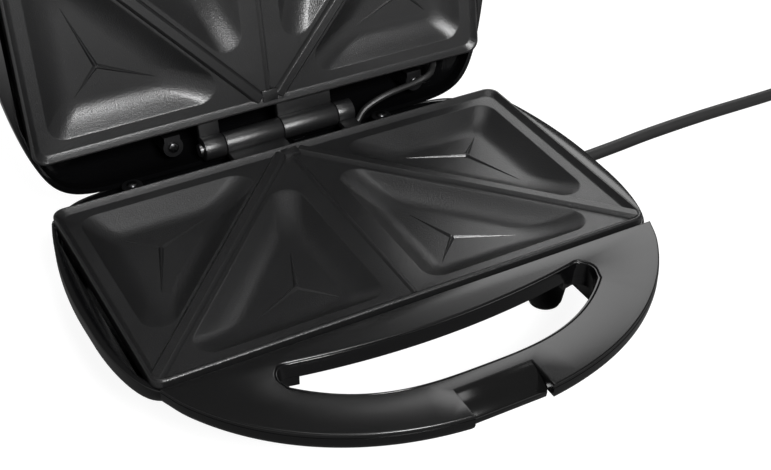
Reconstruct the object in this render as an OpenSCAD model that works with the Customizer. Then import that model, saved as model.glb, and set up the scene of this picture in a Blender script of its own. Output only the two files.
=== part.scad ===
// Countertop sandwich toaster with an open hinged lid, four-triangle plates and a looped handle.
// Origin: on the table under the middle of the open toaster. +X right, +Y to the hinge, +Z up.

/* [Lid] */
// Angle between the plates, as stored (degrees)
open_deg = 98.2; // [80:0.1:100]
// Gap between the two plate rims when the lid is closed
plate_gap = 0.4; // [0.4:0.1:1]
// Height of the hinge axis over the lower plate's rim
hinge_up = 1; // [0.7:0.1:1.3]
// Distance of the hinge axis behind the plate's middle
hinge_back = 79; // [78.5:0.1:79.5]

/* [Plates] */
// Width of a cooking plate over its rim
plate_w = 236; // [232:1:238]
// Depth of a cooking plate over its rim
plate_d = 132; // [130:1:133]
// Depth of the flat land below the rim
land_drop = 2.3; // [1.8:0.1:2.8]
// Depth of a pocket below the land
pocket_drop = 7.2; // [6:0.1:8]
// Thickness of the cast plate
cast_t = 2.2; // [2:0.1:2.4]

/* [Housing] */
// Half width of the housing at its widest
half_w = 128.2; // [127:0.1:129]
// Height of the lower rim over the table
rim_z = 50; // [50:1:60]
// Wall thickness of the housing
wall_t = 2.5; // [2:0.1:3]

/* [Handle] */
// How far the handle reaches in front of the plate's middle
handle_reach = 140.4; // [138:0.1:143]
// Half width of the finger opening
grip_half_w = 73.8; // [68:0.1:75]
// Half width of the latch notch
notch_half_w = 17.7; // [15:0.1:20]

/* [Latch] */
// Outward swing of the latch as stored, measured from its hooked position
latch_out = 35; // [25:1:40]

/* [Mains lead] */
// Diameter of the mains lead
lead_d = 6.8; // [6:0.1:7]
// Middle radius of the outermost turn of the wound lead
coil_r = 44; // [44:1:48]

/* [Hidden] */

black_gloss = [0.05, 0.05, 0.055];
black_satin = [0.11, 0.11, 0.115];
black_matte = [0.04, 0.04, 0.04];
coat_dark = [0.13, 0.13, 0.135];
steel = [0.72, 0.73, 0.75];
tin = [0.6, 0.61, 0.62];
cream = [0.9, 0.87, 0.8];

plate_y = 5.2;
hinge_y = hinge_back + plate_y;
hinge_z = rim_z + hinge_up;
lead_r = lead_d / 2;

// Levels in the plate frame: 0 is the rim plane and the pockets go down.
trim_t = 2;
lip_z = -4;
bottom_z = -32;
inner_bottom_z = bottom_z + wall_t;
rear_wall_top = -12.2;
deck_edge = -69.4;
bowl_rear = 88.5;
bowl_front = 85.2;

// Bowl section from the flat bottom up: level, then how far the flank, front and rear step in.
bowl_section = [[bottom_z, 36, 33, 14], [-30, 30, 29.5, 9], [-26, 20, 24.5, 5], [-21, 12, 17.6, 2.5],
  [-15, 4.5, 9.4, 0.5], [-10.5, 0, 3.2, 0], [-7.5, 0, 0.3, 0], [-2, 0, 0, 0]];
hollow_section = [[inner_bottom_z, 38.5, 36.5, 16], [-27.8, 31, 30.8, 11.2], [-24.3, 22, 26.4, 7.4],
  [-19.6, 14, 19.9, 5], [-14.2, 6.9, 12.5, 3], [-10, wall_t, 6, wall_t], [-7, wall_t, 3, wall_t],
  [1, wall_t, wall_t, wall_t]];

// Shares of the way from the middle of a side of the bowl's plan to its corner.
side_steps = [0.125, 0.35, 0.55, 0.7, 0.81, 0.88, 0.925];
corner_power = 12;

function unit(v) = v / norm(v);

// The flank bows gently at the rear and follows the handle's curve to the front.
handle_from = -15;
handle_power = 2.15;

function handle_x(y) = (half_w - 0.3) * pow(1 - pow((handle_from - y) / (handle_reach + handle_from),
  handle_power), 1 / handle_power);

function flank_x(y) = y < handle_from ? handle_x(y) : half_w - pow(y + 3, 2) / 460;

function opposite(s) = pow(1 - pow(s, corner_power), 1 / corner_power);

quarter_steps = concat([[1, 0]], [for (v = side_steps) [opposite(v), v]],
  [[pow(0.5, 1 / corner_power), pow(0.5, 1 / corner_power)]],
  [for (i = [len(side_steps) - 1:-1:0]) [side_steps[i], opposite(side_steps[i])]]);

// One quarter of the plan: x at the flank, y at the front or rear, corners nearly square.
function plan_quarter(in_side, reach, front) = [for (q = quarter_steps)
  let(y = front ? -reach * q[1] : reach * q[1], x = q[0] * (flank_x(y) - in_side))
  [x, front ? y + 0.00143 * x * x * pow(q[1], 8) : y]];

function reversed(list) = [for (i = [len(list) - 1:-1:0]) list[i]];

function mirror_x(list) = [for (p = list) [-p[0], p[1]]];

function tail_of(list) = [for (i = [1:len(list) - 1]) list[i]];

function plan(level, in_side, in_front, in_rear) = let(
  rear = plan_quarter(in_side, bowl_rear - in_rear, false),
  front = plan_quarter(in_side, bowl_front - in_front, true),
  right = concat(reversed(tail_of(front)), rear))
  [for (p = concat(right, reversed(mirror_x(right)))) [p[0], p[1], level]];

// Solid through a stack of rings with equal point counts, bottom ring first, seen anticlockwise.
module loft(rings) {
  n = len(rings[0]);
  m = len(rings);
  polyhedron(
    points = [for (r = rings) each r],
    faces = concat(
      [[for (j = [0:n - 1]) j]],
      [for (i = [0:m - 2], j = [0:n - 1]) [i * n + j, (i + 1) * n + j, (i + 1) * n + (j + 1) % n]],
      [for (i = [0:m - 2], j = [0:n - 1]) [i * n + j, (i + 1) * n + (j + 1) % n, i * n + (j + 1) % n]],
      [[for (j = [n - 1:-1:0]) (m - 1) * n + j]]),
    convexity = 8);
}

// Round tube along a list of points, with flat ends square to the first and last step.
function way(p) = [for (i = [0:len(p) - 1]) unit(p[min(i + 1, len(p) - 1)] - p[max(i - 1, 0)])];

function side_start(t) = unit(cross(t, abs(t[2]) < 0.9 ? [0, 0, 1] : [1, 0, 0]));

function sides_along(t) = [for (i = 0, u = side_start(t[0]); i < len(t);
  i = i + 1, u = i < len(t) ? unit(u - (u * t[i]) * t[i]) : u) u];

module tube(path, r, sides = 8) {
  t = way(path);
  u = sides_along(t);
  loft([for (i = [0:len(path) - 1]) [for (k = [0:sides - 1])
    let(a = 360 * k / sides) path[i] + r * (cos(a) * u[i] + sin(a) * cross(t[i], u[i]))]]);
}

// Smooth curve through a few route points, with a number of steps between neighbours.
function bend_at(a, b, c, d, s) = 0.5 * ((2 * b) + (c - a) * s + (2 * a - 5 * b + 4 * c - d) * s * s
  + (3 * b - a - 3 * c + d) * s * s * s);

function smooth(p, steps) = let(n = len(p)) concat([for (i = [0:n - 2], k = [0:steps - 1])
  bend_at(i == 0 ? 2 * p[0] - p[1] : p[i - 1], p[i], p[i + 1],
    i == n - 2 ? 2 * p[n - 1] - p[n - 2] : p[i + 2], k / steps)], [p[n - 1]]);

// Placing: the lower half's plate frame, and the lid's, which is a mirror turned about the hinge.
module at_base() {
  translate([0, plate_y, rim_z]) children();
}

module at_lid_closed() {
  translate([0, plate_y, rim_z + plate_gap]) mirror([0, 0, 1]) children();
}

module swing() {
  translate([0, hinge_y, hinge_z]) rotate([-open_deg, 0, 0]) translate([0, -hinge_y, -hinge_z]) children();
}

module at_lid() {
  swing() at_lid_closed() children();
}

// Handle plan. The outer edge is a full curve, the finger opening a slot bowed to the front.
handle_rows = [-45, -52, -60, -68, -76, -84, -92, -100, -108, -115, -121, -126, -130, -133.5, -136.5,
  -138.8, -140.3];

handle_right = [for (y = handle_rows) let(v = y * handle_reach / 141) [handle_x(v), v]];
handle_edge = concat(reversed(handle_right), mirror_x(handle_right),
  [[-8, -handle_reach], [8, -handle_reach]]);

function grip_front_y(x) = -115.8 + 26 * pow(abs(x) / 74, 3);

function grip_rear_y(x) = -86.2 + 0.0015 * x * x;

function grip_edge(grow) = let(s = (grip_half_w + grow) / 73.8)
  concat([for (x = [-72:6:72]) [x * s, grip_front_y(x) - grow]],
    [[73.8 * s, -87.5], [74 * s, -84.5], [73 * s, -81.5], [70.6 * s, -79.2 + grow]],
    [for (x = [66:-6:-66]) [x * s, grip_rear_y(x) + grow]],
    [[-70.6 * s, -79.2 + grow], [-73 * s, -81.5], [-74 * s, -84.5], [-73.8 * s, -87.5]]);

module handle_plan(slot_grow) {
  difference() {
    polygon(handle_edge);
    polygon(grip_edge(slot_grow));
  }
}

// Cooking plate. Each pocket is a triangle with rounded corners and soft walls.
ridge_dir = unit([112, -124]);
ridge_out = [-ridge_dir[1], ridge_dir[0]];
ridge_from = [4, 62];
pocket_side = 108.6;
pocket_rear = 56.5;
pocket_front = -57.3;
pocket_mid = 10;
ridge_off = 5;

function ridge_x(y, off) = ridge_from[0] + (off - ridge_out[1] * (y - ridge_from[1])) / ridge_out[0];

function ridge_y(x, off) = ridge_from[1] + (off - ridge_out[0] * (x - ridge_from[0])) / ridge_out[1];

rear_corners = [[pocket_side, pocket_rear], [ridge_x(pocket_rear, ridge_off), pocket_rear],
  [pocket_side, ridge_y(pocket_side, ridge_off)]];
front_corners = [[pocket_mid, pocket_front], [ridge_x(pocket_front, -ridge_off), pocket_front],
  [pocket_mid, ridge_y(pocket_mid, -ridge_off)]];
rear_heart = [79.8, 28];
front_heart = [39.1, -26.9];

// Pocket wall from the floor up: how far in from the edge, share of the depth, corner radius.
pocket_wall = [[15.4, 1, 5], [12.4, 0.965, 6], [9.4, 0.84, 7], [6.2, 0.6, 7.5], [3.2, 0.28, 8],
  [1.2, 0.07, 8.5], [0, 0, 8.5]];

function turn_of(v) = atan2(v[1], v[0]);

function wrap(a) = a < 0 ? a + 360 : a;

// Corner k of an anticlockwise triangle, moved in by e from both edges.
function moved_in(tri, k, e) = let(v = tri[k], a = unit(tri[(k + 2) % 3] - v),
  b = unit(tri[(k + 1) % 3] - v), half = acos(a * b) / 2) v + unit(a + b) * e / sin(half);

function round_tri(tri, e, r, z) = [for (k = [0:2], s = [0:5])
  let(v = tri[k], a = turn_of(v - tri[(k + 2) % 3]) - 90, b = turn_of(tri[(k + 1) % 3] - v) - 90,
    c = moved_in(tri, k, e + r), w = a + wrap(b - a) * s / 5)
  [c[0] + r * cos(w), c[1] + r * sin(w), z]];

module pocket(tri, grow, lift) {
  loft(concat([for (w = pocket_wall)
    round_tri(tri, w[0] - grow, w[2] + grow, -land_drop - pocket_drop * w[1] - grow)],
    [round_tri(tri, -grow, 8.5 + grow, lift)]));
}

module both_sides() {
  children();
  mirror([1, 0, 0]) children();
}

module crease(heart, ends) {
  floor_z = -land_drop - pocket_drop;
  for (e = ends) {
    d = unit(e - heart);
    n = 1.6 * [-d[1], d[0]];
    a = heart - d;
    polyhedron(points = [[a[0], a[1], floor_z + 0.8], [e[0], e[1], floor_z - 0.1],
      [a[0] + n[0], a[1] + n[1], floor_z - 0.2], [a[0] - n[0], a[1] - n[1], floor_z - 0.2]],
      faces = [[0, 2, 1], [0, 1, 3], [0, 3, 2], [1, 2, 3]]);
  }
}

boss_places = [[0, -48], [0, 34], [69, -10], [-69, -10]];
pin_r = 2;
run_gap = 0.05;
barrel_r = 5.7;
shield_z = -20.5;
shield_t = 0.6;

module rim_ring(w, d, r, z0, z1) {
  translate([0, 0, z0]) linear_extrude(z1 - z0) round_rect(w, d, r);
}

module round_rect(w, d, r) {
  square([w - 2 * r, d], center = true);
  square([w, d - 2 * r], center = true);
  for (x = [-1, 1], y = [-1, 1]) translate([x * (w / 2 - r), y * (d / 2 - r)]) circle(r, $fn = 32);
}

function rect_ring(w, d, r, z) = [for (q = [0:3], s = [0:4]) let(a = 90 * q + 22.5 * s,
  cx = (q == 0 || q == 3 ? 1 : -1) * (w / 2 - r), cy = (q < 2 ? 1 : -1) * (d / 2 - r))
  [cx + r * cos(a), cy + r * sin(a), z]];

module diagonal_ridge() {
  a = turn_of(ridge_dir);
  intersection() {
    translate([ridge_from[0], ridge_from[1], 0]) rotate([0, 0, a]) translate([1, 0.5, 0])
      rotate([90, 0, 90]) linear_extrude(170)
        polygon([[-4, -land_drop - 0.1], [-1.8, -0.5], [1.8, -0.5], [4, -land_drop - 0.1]]);
    rim_ring(plate_w - 2, plate_d - 2, 5, -land_drop - 1, 0);
  }
}

module plate_body() {
  difference() {
    union() {
      difference() {
        rim_ring(plate_w, plate_d, 6, -7, 0);
        rim_ring(plate_w - 5, plate_d - 5, 4.5, -8, -land_drop - cast_t);
        loft([rect_ring(plate_w - 8, plate_d - 7.2, 4.5, -land_drop),
          rect_ring(plate_w - 1.8, plate_d - 1.8, 5.5, 0.1)]);
      }
      both_sides() pocket(rear_corners, cast_t, -land_drop - 0.3);
      both_sides() pocket(front_corners, cast_t, -land_drop - 0.3);
      both_sides() diagonal_ridge();
      rotate([90, 0, 0]) translate([0, 0, -59]) linear_extrude(121)
        polygon([[-1.8, -land_drop - 0.1], [-0.6, -1.5], [0.6, -1.5], [1.8, -land_drop - 0.1]]);
      translate([-4, 57, -land_drop - 0.1]) cube([8, 6.5, land_drop - 0.4]);
      for (p = boss_places) translate([p[0], p[1], shield_z + shield_t]) cylinder(r = 4, h = 17.5, $fn = 32);
    }
    both_sides() pocket(rear_corners, 0, -land_drop + 0.5);
    both_sides() pocket(front_corners, 0, -land_drop + 0.5);
    for (p = boss_places) translate([p[0], p[1], shield_z]) cylinder(r = 1.9, h = 9, $fn = 32);
  }
  both_sides() crease(rear_heart, [[92, 40.5], [50.5, 41], [91.5, -3]]);
  both_sides() crease(front_heart, [[30.5, -2.8], [25.5, -41], [65, -39.5]]);
}

// One hinge knuckle with a web to the plate's rear wall. up is the axis height over the rim plane.
module knuckle(x0, x1, up, r) {
  translate([x0, hinge_back, up]) rotate([0, 90, 0]) cylinder(r = r, h = x1 - x0, $fn = 48);
  translate([x0, plate_d / 2 - 2, up - r + 0.2]) cube([x1 - x0, hinge_back - plate_d / 2 + 2, 3.6]);
}

module knuckle_bore(x0, x1, up, r) {
  translate([x0, hinge_back, up]) rotate([0, 90, 0]) cylinder(r = r, h = x1 - x0, $fn = 48);
}

module base_plate() {
  color(coat_dark) at_base() difference() {
    union() {
      plate_body();
      knuckle(-27, 3, hinge_up, barrel_r);
      knuckle(33, 42, hinge_up, barrel_r);
    }
    knuckle_bore(-28, 4, hinge_up, pin_r + run_gap);
    knuckle_bore(32, 43, hinge_up, pin_r);
  }
}

module lid_plate() {
  up = plate_gap - hinge_up;
  color(coat_dark) at_lid() difference() {
    union() {
      plate_body();
      knuckle(3.3, 32.7, up, barrel_r);
      knuckle(-38, -27.3, up, barrel_r);
    }
    knuckle_bore(2, 34, up, pin_r + run_gap);
    knuckle_bore(-39, -26, up, pin_r + run_gap);
    translate([-35.6, hinge_back - 3.2, up + 2.8]) cube([6, 7, 4]);
  }
}

module hinge_pin() {
  color(steel) translate([-38.6, hinge_y, hinge_z]) rotate([0, 90, 0]) {
    cylinder(r = pin_r, h = 80.6, $fn = 48);
    translate([0, 0, -1.2]) cylinder(r = 3.2, h = 1.2, $fn = 32);
  }
}

// Bent tube element under the plate, with its cold ends to the right.
element_z = -15.2;
element_r = 3.2;
element_leg = 22;

module element() {
  translate([-60, 0, element_z]) rotate([0, 0, 90]) rotate_extrude(angle = 180, $fn = 48)
    translate([element_leg, 0]) circle(element_r, $fn = 32);
  for (s = [-1, 1]) translate([-60, s * element_leg, element_z]) rotate([0, 90, 0]) {
    cylinder(r = element_r, h = 144, $fn = 32);
    cylinder(r = 1.5, h = 152, $fn = 32);
  }
}

module base_element() {
  color(tin) at_base() element();
}

module lid_element() {
  color(tin) at_lid() element();
}

// Heat shield: a sheet on the housing posts with an upturned front and two rear ears on the bosses.
ear_z = -6.3;
boss_y = 76;
base_boss_x = [58, -75.5];
lid_boss_x = [82, -50.6];

module shield(ears) {
  difference() {
    union() {
      translate([-88, -40, shield_z]) cube([176, 106.5, shield_t]);
      translate([-80, -53.5, shield_z]) cube([160, 14, shield_t]);
      translate([-80, -53.5, shield_z]) cube([160, shield_t, 6]);
      for (x = ears) {
        translate([x - 4, 66, shield_z]) cube([8, 5, shield_t]);
        translate([x - 4, 70.4, shield_z]) cube([8, shield_t, ear_z + shield_t - shield_z]);
        translate([x - 4, 70.4, ear_z]) cube([8, boss_y - 70.4, shield_t]);
        translate([x, boss_y, ear_z]) cylinder(r = 5, h = shield_t, $fn = 48);
      }
    }
    for (p = boss_places) translate([p[0], p[1], shield_z - 1]) cylinder(r = 2.2, h = 3, $fn = 32);
    for (x = ears) translate([x, boss_y, ear_z - 1]) cylinder(r = 1.9, h = 3, $fn = 32);
  }
}

module base_shield() {
  color(steel) at_base() shield(base_boss_x);
}

module lid_shield() {
  color(steel) at_lid() shield(lid_boss_x);
}

module plate_screws() {
  for (p = boss_places) translate([p[0], p[1], shield_z - 2.2]) {
    cylinder(r = 1.9, h = 10.5, $fn = 32);
    cylinder(r = 3.6, h = 2.2, $fn = 32);
  }
}

module base_plate_screws() {
  color(steel) at_base() plate_screws();
}

module lid_plate_screws() {
  color(steel) at_lid() plate_screws();
}

module ear_screws(ears) {
  for (x = ears) translate([x, boss_y, ear_z + shield_t]) difference() {
    union() {
      cylinder(r = 2.6, h = 1.6, $fn = 32);
      translate([0, 0, -12]) cylinder(r = 1.3, h = 12, $fn = 32);
    }
    for (a = [0, 90]) rotate([0, 0, a]) translate([-1.6, -0.35, 0.8]) cube([3.2, 0.7, 1]);
  }
}

module base_housing_screws() {
  color(steel) at_base() ear_screws(base_boss_x);
}

module lid_housing_screws() {
  color(steel) at_lid() ear_screws(lid_boss_x);
}

// Housing bowl with the lower half of the handle loop.
module bowl(section) {
  loft([for (s = section) plan(s[0], s[1], s[2], s[3])]);
}

frame_foot = -8.4;
cup_foot = -12.5;
slot_lip = 0.9;
lip_top = -0.4;

module handle_arm() {
  hull() {
    translate([75.5, -98, frame_foot - 0.6]) cube([17, 30, 1]);
    translate([78, -86, frame_foot - 0.6]) cube([26, 18, 1]);
    translate([75.5, -86, -20.5]) cube([14, 16, 1]);
  }
}

module housing_raw() {
  difference() {
    union() {
      difference() {
        union() {
          bowl(bowl_section);
          both_sides() handle_arm();
          both_sides() translate([61.5, -92, cup_foot]) cube([16, 16, 5]);
        }
        bowl(hollow_section);
      }
      difference() {
        translate([0, 0, frame_foot]) linear_extrude(-frame_foot - trim_t) handle_plan(0);
        translate([-120.5, deck_edge, frame_foot - 1]) cube([241, 154, 12]);
      }
      translate([0, 0, -6.6]) linear_extrude(6.6 - trim_t)
        polygon([for (p = plan(0, 0.4, 0.4, 0.4)) [p[0], p[1]]]);
      translate([0, 0, -trim_t - 0.5]) linear_extrude(lip_top + trim_t + 0.5) difference() {
        polygon(grip_edge(slot_lip));
        polygon(grip_edge(0));
      }
    }
    translate([-120.5, deck_edge, -7.6]) cube([241, 154, 12]);
    translate([-140, deck_edge, lip_z]) cube([280, 170, 8]);
    translate([0, 0, -14]) linear_extrude(14) polygon(grip_edge(0));
    for (s = [-1, 1]) translate([s * 56.6 - 3.8, -83, -8]) cube([7.6, 3.6, 5.6]);
    translate([-notch_half_w, -150, -12]) cube([2 * notch_half_w, 150 - 123.5, 14]);
  }
  for (p = boss_places) translate([p[0], p[1], inner_bottom_z - 0.5]) difference() {
    cylinder(r = 5.6, h = shield_z - inner_bottom_z + 0.5, $fn = 32);
    translate([0, 0, 0.5]) cylinder(r = 4.3, h = 20, $fn = 32);
  }
}

post_foot = -28.6;

module ear_posts(ears) {
  for (x = ears) translate([x, boss_y, post_foot]) difference() {
    cylinder(r = 4.8, h = ear_z - post_foot, $fn = 32);
    translate([0, 0, 8]) cylinder(r = 1.3, h = 30, $fn = 32);
  }
}

relief_tilt = 38;
relief_at = [110.5, 44, -21.4];
relief_len = 30;

module at_relief() {
  translate(relief_at) rotate([0, 90 + relief_tilt, 0]) children();
}

// Two ribs on the lower half's rear wall, which the open lid rests on.
stop_foot = -20.8;
stop_top = -10.3;

module base_housing() {
  color(black_gloss) at_base() {
    difference() {
      housing_raw();
      rotate([90, 0, 90]) translate([0, 0, -140]) linear_extrude(280)
        polygon([[63, 3], [63, lip_z], [77, rear_wall_top], [100, rear_wall_top], [100, 3]]);
      at_relief() translate([0, 0, -20]) cylinder(r = 6.75, h = 30, $fn = 32);
    }
    ear_posts(base_boss_x);
    for (x = [-20, 12]) translate([x, 82.6, stop_foot]) cube([6, 3.2, stop_top - stop_foot]);
  }
}

module lid_housing() {
  color(black_gloss) at_lid() {
    difference() {
      housing_raw();
      for (x = lamp_x) translate([x, lamp_y, bottom_z - 1]) cylinder(r = 4.5, h = 6, $fn = 32);
      translate([-notch_half_w, -133, 0]) rotate([0, 90, 0]) translate([latch_pivot_up, 0, -4])
        cylinder(r = 1.6, h = 2 * notch_half_w + 8, $fn = 32);
    }
    ear_posts(lid_boss_x);
  }
}

module trim_shape() {
  difference() {
    translate([0, 0, -trim_t]) linear_extrude(trim_t) difference() {
      handle_plan(slot_lip + 0.1);
      translate([-150, deck_edge]) square([300, 100]);
    }
    translate([-notch_half_w, -150, -5]) cube([2 * notch_half_w, 150 - 123.5, 8]);
  }
}

module base_trim() {
  color(black_satin) at_base() trim_shape();
}

module lid_trim() {
  color(black_satin) at_lid() trim_shape();
}

module latch_keeper() {
  color(black_matte) at_base() translate([-notch_half_w, 0, 0]) rotate([90, 0, 90])
    linear_extrude(2 * notch_half_w) polygon([[-123.5, -0.2], [-126.5, -0.8], [-130, -2.2], [-133, -3.9],
      [-135, -5.6], [-135.6, -7], [-135.2, -9.4], [-133.5, -10.4], [-124.5, -10.4], [-123.5, -9.4]]);
}

// Lamps on the closed lid's top.
lamp_x = [-14, 14];
lamp_y = -38;

module lamp_bodies() {
  color(cream) at_lid() for (x = lamp_x) translate([x, lamp_y, inner_bottom_z]) difference() {
    cylinder(r = 6.5, h = 6.5, $fn = 32);
    translate([0, 0, -1]) cylinder(r = 3.2, h = 5, $fn = 32);
  }
}

module lamp_lens(tint) {
  color(tint) {
    translate([0, 0, bottom_z - 0.6]) cylinder(r = 4.45, h = inner_bottom_z - bottom_z + 0.6, $fn = 32);
    translate([0, 0, inner_bottom_z]) cylinder(r = 3.1, h = 3.5, $fn = 32);
  }
}

module lamp_lenses() {
  at_lid() {
    translate([lamp_x[0], lamp_y, 0]) lamp_lens([0.75, 0.08, 0.05]);
    translate([lamp_x[1], lamp_y, 0]) lamp_lens([0.1, 0.6, 0.15]);
  }
}

// Feet: tapered, shaped to the bowl where they meet it.
foot_places = [[80.7, -44.2], [-80.7, -44.2], [80.7, 60], [-80.7, 60]];
floor_z = -rim_z;
pad_t = 1.8;

module feet() {
  color(black_gloss) at_base() difference() {
    for (p = foot_places) translate([p[0], p[1], floor_z + pad_t])
      cylinder(r1 = 8.2, r2 = 13.1, h = 28, $fn = 48);
    bowl(bowl_section);
  }
}

module foot_pads() {
  color(black_matte) at_base() for (p = foot_places) translate([p[0], p[1], floor_z])
    cylinder(r = 7.4, h = pad_t, $fn = 48);
}

// Parts inside the lower half, by the lead's way in at the right.
module thermostat() {
  color(cream) at_base() translate([34, 8, inner_bottom_z]) {
    cylinder(r = 8, h = 5.5, $fn = 32);
    cylinder(r = 6.6, h = shield_z - inner_bottom_z, $fn = 32);
    translate([-14, -3, 0]) cube([28, 6, 1.2]);
  }
}

module thermal_fuse() {
  color(cream) at_base() translate([26, -24, inner_bottom_z + 2]) rotate([0, 90, 0])
    cylinder(r = 2, h = 24, $fn = 32);
}

module terminal_block() {
  color(cream) at_base() translate([46, 30, inner_bottom_z]) difference() {
    cube([10, 24, 7]);
    for (y = [4, 12, 20]) translate([-1, y, 4]) rotate([0, 90, 0]) cylinder(r = 1.5, h = 12, $fn = 32);
  }
}

module earth_screw() {
  color(steel) at_base() translate([62, 14, inner_bottom_z]) {
    cylinder(r = 4, h = 0.8, $fn = 32);
    cylinder(r = 2.8, h = 3, $fn = 32);
  }
}

clamp_x = 74;

module cord_clamp() {
  color(black_matte) at_base() translate([clamp_x - 5, 34, inner_bottom_z]) difference() {
    cube([10, 18, 8.6]);
    translate([-1, 9, 4.4]) rotate([0, 90, 0]) cylinder(r = lead_r, h = 12, $fn = 32);
  }
}

base_wire_r = 1.2;
inner_lead_r = 3.2;

// Routes of the inner wires, in the plate frame.
wire_z = inner_bottom_z + 4;
base_wire_routes = [
  [[56.7, 34, wire_z], [61, 36, wire_z + 0.4], [67.4, 41.4, wire_z + 0.4]],
  [[56.7, 42, wire_z], [61, 42.6, wire_z + 0.4], [67.4, 44.6, wire_z + 0.4]],
  [[45.3, 34, wire_z], [43, 27, wire_z - 1], [46, 19, wire_z - 1.6], [52, 13, wire_z - 2.4],
    [52, 8.6, wire_z - 2.6], [48.7, 8, wire_z - 2.6]],
  [[45.3, 42, wire_z], [38, 46, wire_z], [30, 56, wire_z], [26.5, 66, wire_z + 0.6], [28, 71, wire_z + 3],
    [29.3, 72.4, wire_z + 7.6]],
  [[56.7, 50, wire_z], [64, 55, wire_z + 0.5], [84, 55, wire_z + 1.5], [94, 53, wire_z + 5.5],
    [96.5, 44, -14.5], [96.5, 30, -14.4], [95.5, 23.5, -15], [92.7, 22, -15.2]],
  [[19.3, 8, wire_z - 2.6], [14, 2, wire_z - 2], [14, -18, wire_z - 2], [20, -24, wire_z - 2],
    [25.2, -24, wire_z - 2]],
  [[50.8, -24, wire_z - 2], [60, -26, wire_z - 1.5], [80, -28, wire_z], [93, -27, -20], [95.5, -23.5, -16],
    [92.7, -22, -15.2]]];
inner_lead_route = [[67.5, 43, wire_z + 0.4], [78.9, 43, wire_z + 0.4], [88, 43.2, wire_z + 1.4],
  [95, 43.6, -20.3], [99.4, 43.9, -16.9]];

module base_wires() {
  color(black_matte) at_base() {
    for (w = base_wire_routes) tube(smooth(w, 3), base_wire_r, 6);
    tube(smooth(inner_lead_route, 4), inner_lead_r, 8);
  }
}

// Strain relief on the lead, then the lead along the table to the wound rest.
module strain_relief() {
  color(black_matte) at_base() at_relief() {
    translate([0, 0, -8]) cylinder(r = 6.5, h = 11, $fn = 32);
    translate([0, 0, 3]) cylinder(r1 = 6.5, r2 = 4.5, h = relief_len - 3, $fn = 32);
    for (z = [7, 12, 17, 22]) translate([0, 0, z]) cylinder(r = 6.4 - 0.07 * z, h = 1.6, $fn = 32);
  }
}

relief_end = [relief_at[0] + relief_len * cos(relief_tilt), relief_at[1] + plate_y,
  relief_at[2] + rim_z - relief_len * sin(relief_tilt)];
relief_step = [cos(relief_tilt), 0, -sin(relief_tilt)];
coil_mid = [345, plate_y + 4];
coil_entry_x = 333;

lead_route = concat([for (s = [0, 3]) relief_end + s * relief_step],
  [for (s = [0.25:0.25:1]) let(a = relief_tilt * (1 - s), run = 27.2)
    relief_end + 3 * relief_step
      + [run * (sin(relief_tilt) - sin(a)), 0, run * (cos(relief_tilt) - cos(a))]]);
lead_low = lead_r;
floor_route = [[168.5, plate_y + 44.3, lead_low], [190, plate_y + 45.7, lead_low],
  [212, plate_y + 47.4, lead_low], [250, plate_y + 48.5, lead_low],
  [290, coil_mid[1] + coil_r, lead_low], [coil_entry_x - 8, coil_mid[1] + coil_r, lead_low]];
lead_drop = relief_end[2] - 3 * sin(relief_tilt) - 27.2 * (1 - cos(relief_tilt)) - lead_low;

module cord() {
  bend_end = lead_route[len(lead_route) - 1];
  color(black_matte) tube(concat([for (p = lead_route) [p[0], p[1], p[2]]],
    smooth(concat([[bend_end[0] + 6, bend_end[1], lead_low]], floor_route), 5),
    [[coil_entry_x, coil_mid[1] + coil_r, lead_low]]), lead_r, 10);
}

// Wound rest of the lead: in over two turns, up a layer, and out over two turns.
turn_gap = 7.35;
coil_turn = 360;
coil_total = 4 * coil_turn;
climb_from = 630;
climb_to = 810;

function ease(s) = s <= 0 ? 0 : s >= 1 ? 1 : s * s * (3 - 2 * s);

function coil_radius(a) = coil_r - turn_gap * (coil_total / 2 - abs(a - coil_total / 2)) / coil_turn;

function coil_point(a) = [coil_mid[0] + coil_radius(a) * sin(a), coil_mid[1] + coil_radius(a) * cos(a),
  lead_low + turn_gap * ease((a - climb_from) / (climb_to - climb_from))];

coil_top = coil_mid[1] + coil_r;
plug_z = 18.5;
plug_x = coil_mid[0] + 66;
coil_way = concat([[coil_entry_x, coil_top, lead_low], [coil_entry_x + 6.8, coil_top, lead_low]],
  [for (a = [0:15:coil_total]) coil_point(a)],
  smooth([[coil_mid[0] + 14, coil_top, lead_low + turn_gap], [coil_mid[0] + 38, coil_top, 14.5],
    [plug_x - 8, coil_top, plug_z], [plug_x - 0.4, coil_top, plug_z]], 4));

least_gap = min([for (i = [0:len(coil_way) - 1], j = [0:len(coil_way) - 1]) if (j > i + 8)
  norm(coil_way[i] - coil_way[j])]) - lead_d;
echo(least_gap = least_gap);

module cord_coil() {
  color(black_matte) tube(coil_way, lead_r, 6);
}

module plug_body() {
  color(black_matte) translate([plug_x, coil_top, plug_z]) rotate([0, 90, 0]) {
    cylinder(r1 = 4.4, r2 = 6.5, h = 22, $fn = 32);
    translate([0, 0, 22]) cylinder(r1 = 8.5, r2 = 16.5, h = 12, $fn = 48);
    translate([0, 0, 34]) cylinder(r1 = 16.5, r2 = plug_z, h = 5, $fn = 48);
    translate([0, 0, 39]) cylinder(r = plug_z, h = 16, $fn = 48);
  }
}

module plug_pins() {
  color(steel) for (s = [-1, 1]) translate([plug_x + 55, coil_top + s * 9.5, plug_z]) rotate([0, 90, 0]) {
    cylinder(r = 2.4, h = 17, $fn = 32);
    translate([0, 0, 17]) cylinder(r1 = 2.4, r2 = 1.4, h = 2, $fn = 32);
  }
}

// Cable from the lower half up into the lid, drawn for the stored angle.
link_route = [[30, 73, -15.5], [38, 75.5, -12.5], [45, 78, -7], [51, 79.3, -1.2], [63, 79.4, 3.2],
  [80, 80.4, 5], [90, 82, 7.5], [95.5, 90, 12], [96, 101, 17]];

module link_cable() {
  color(black_matte) at_base() tube(smooth(link_route, 4), 1.7, 8);
}

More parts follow.
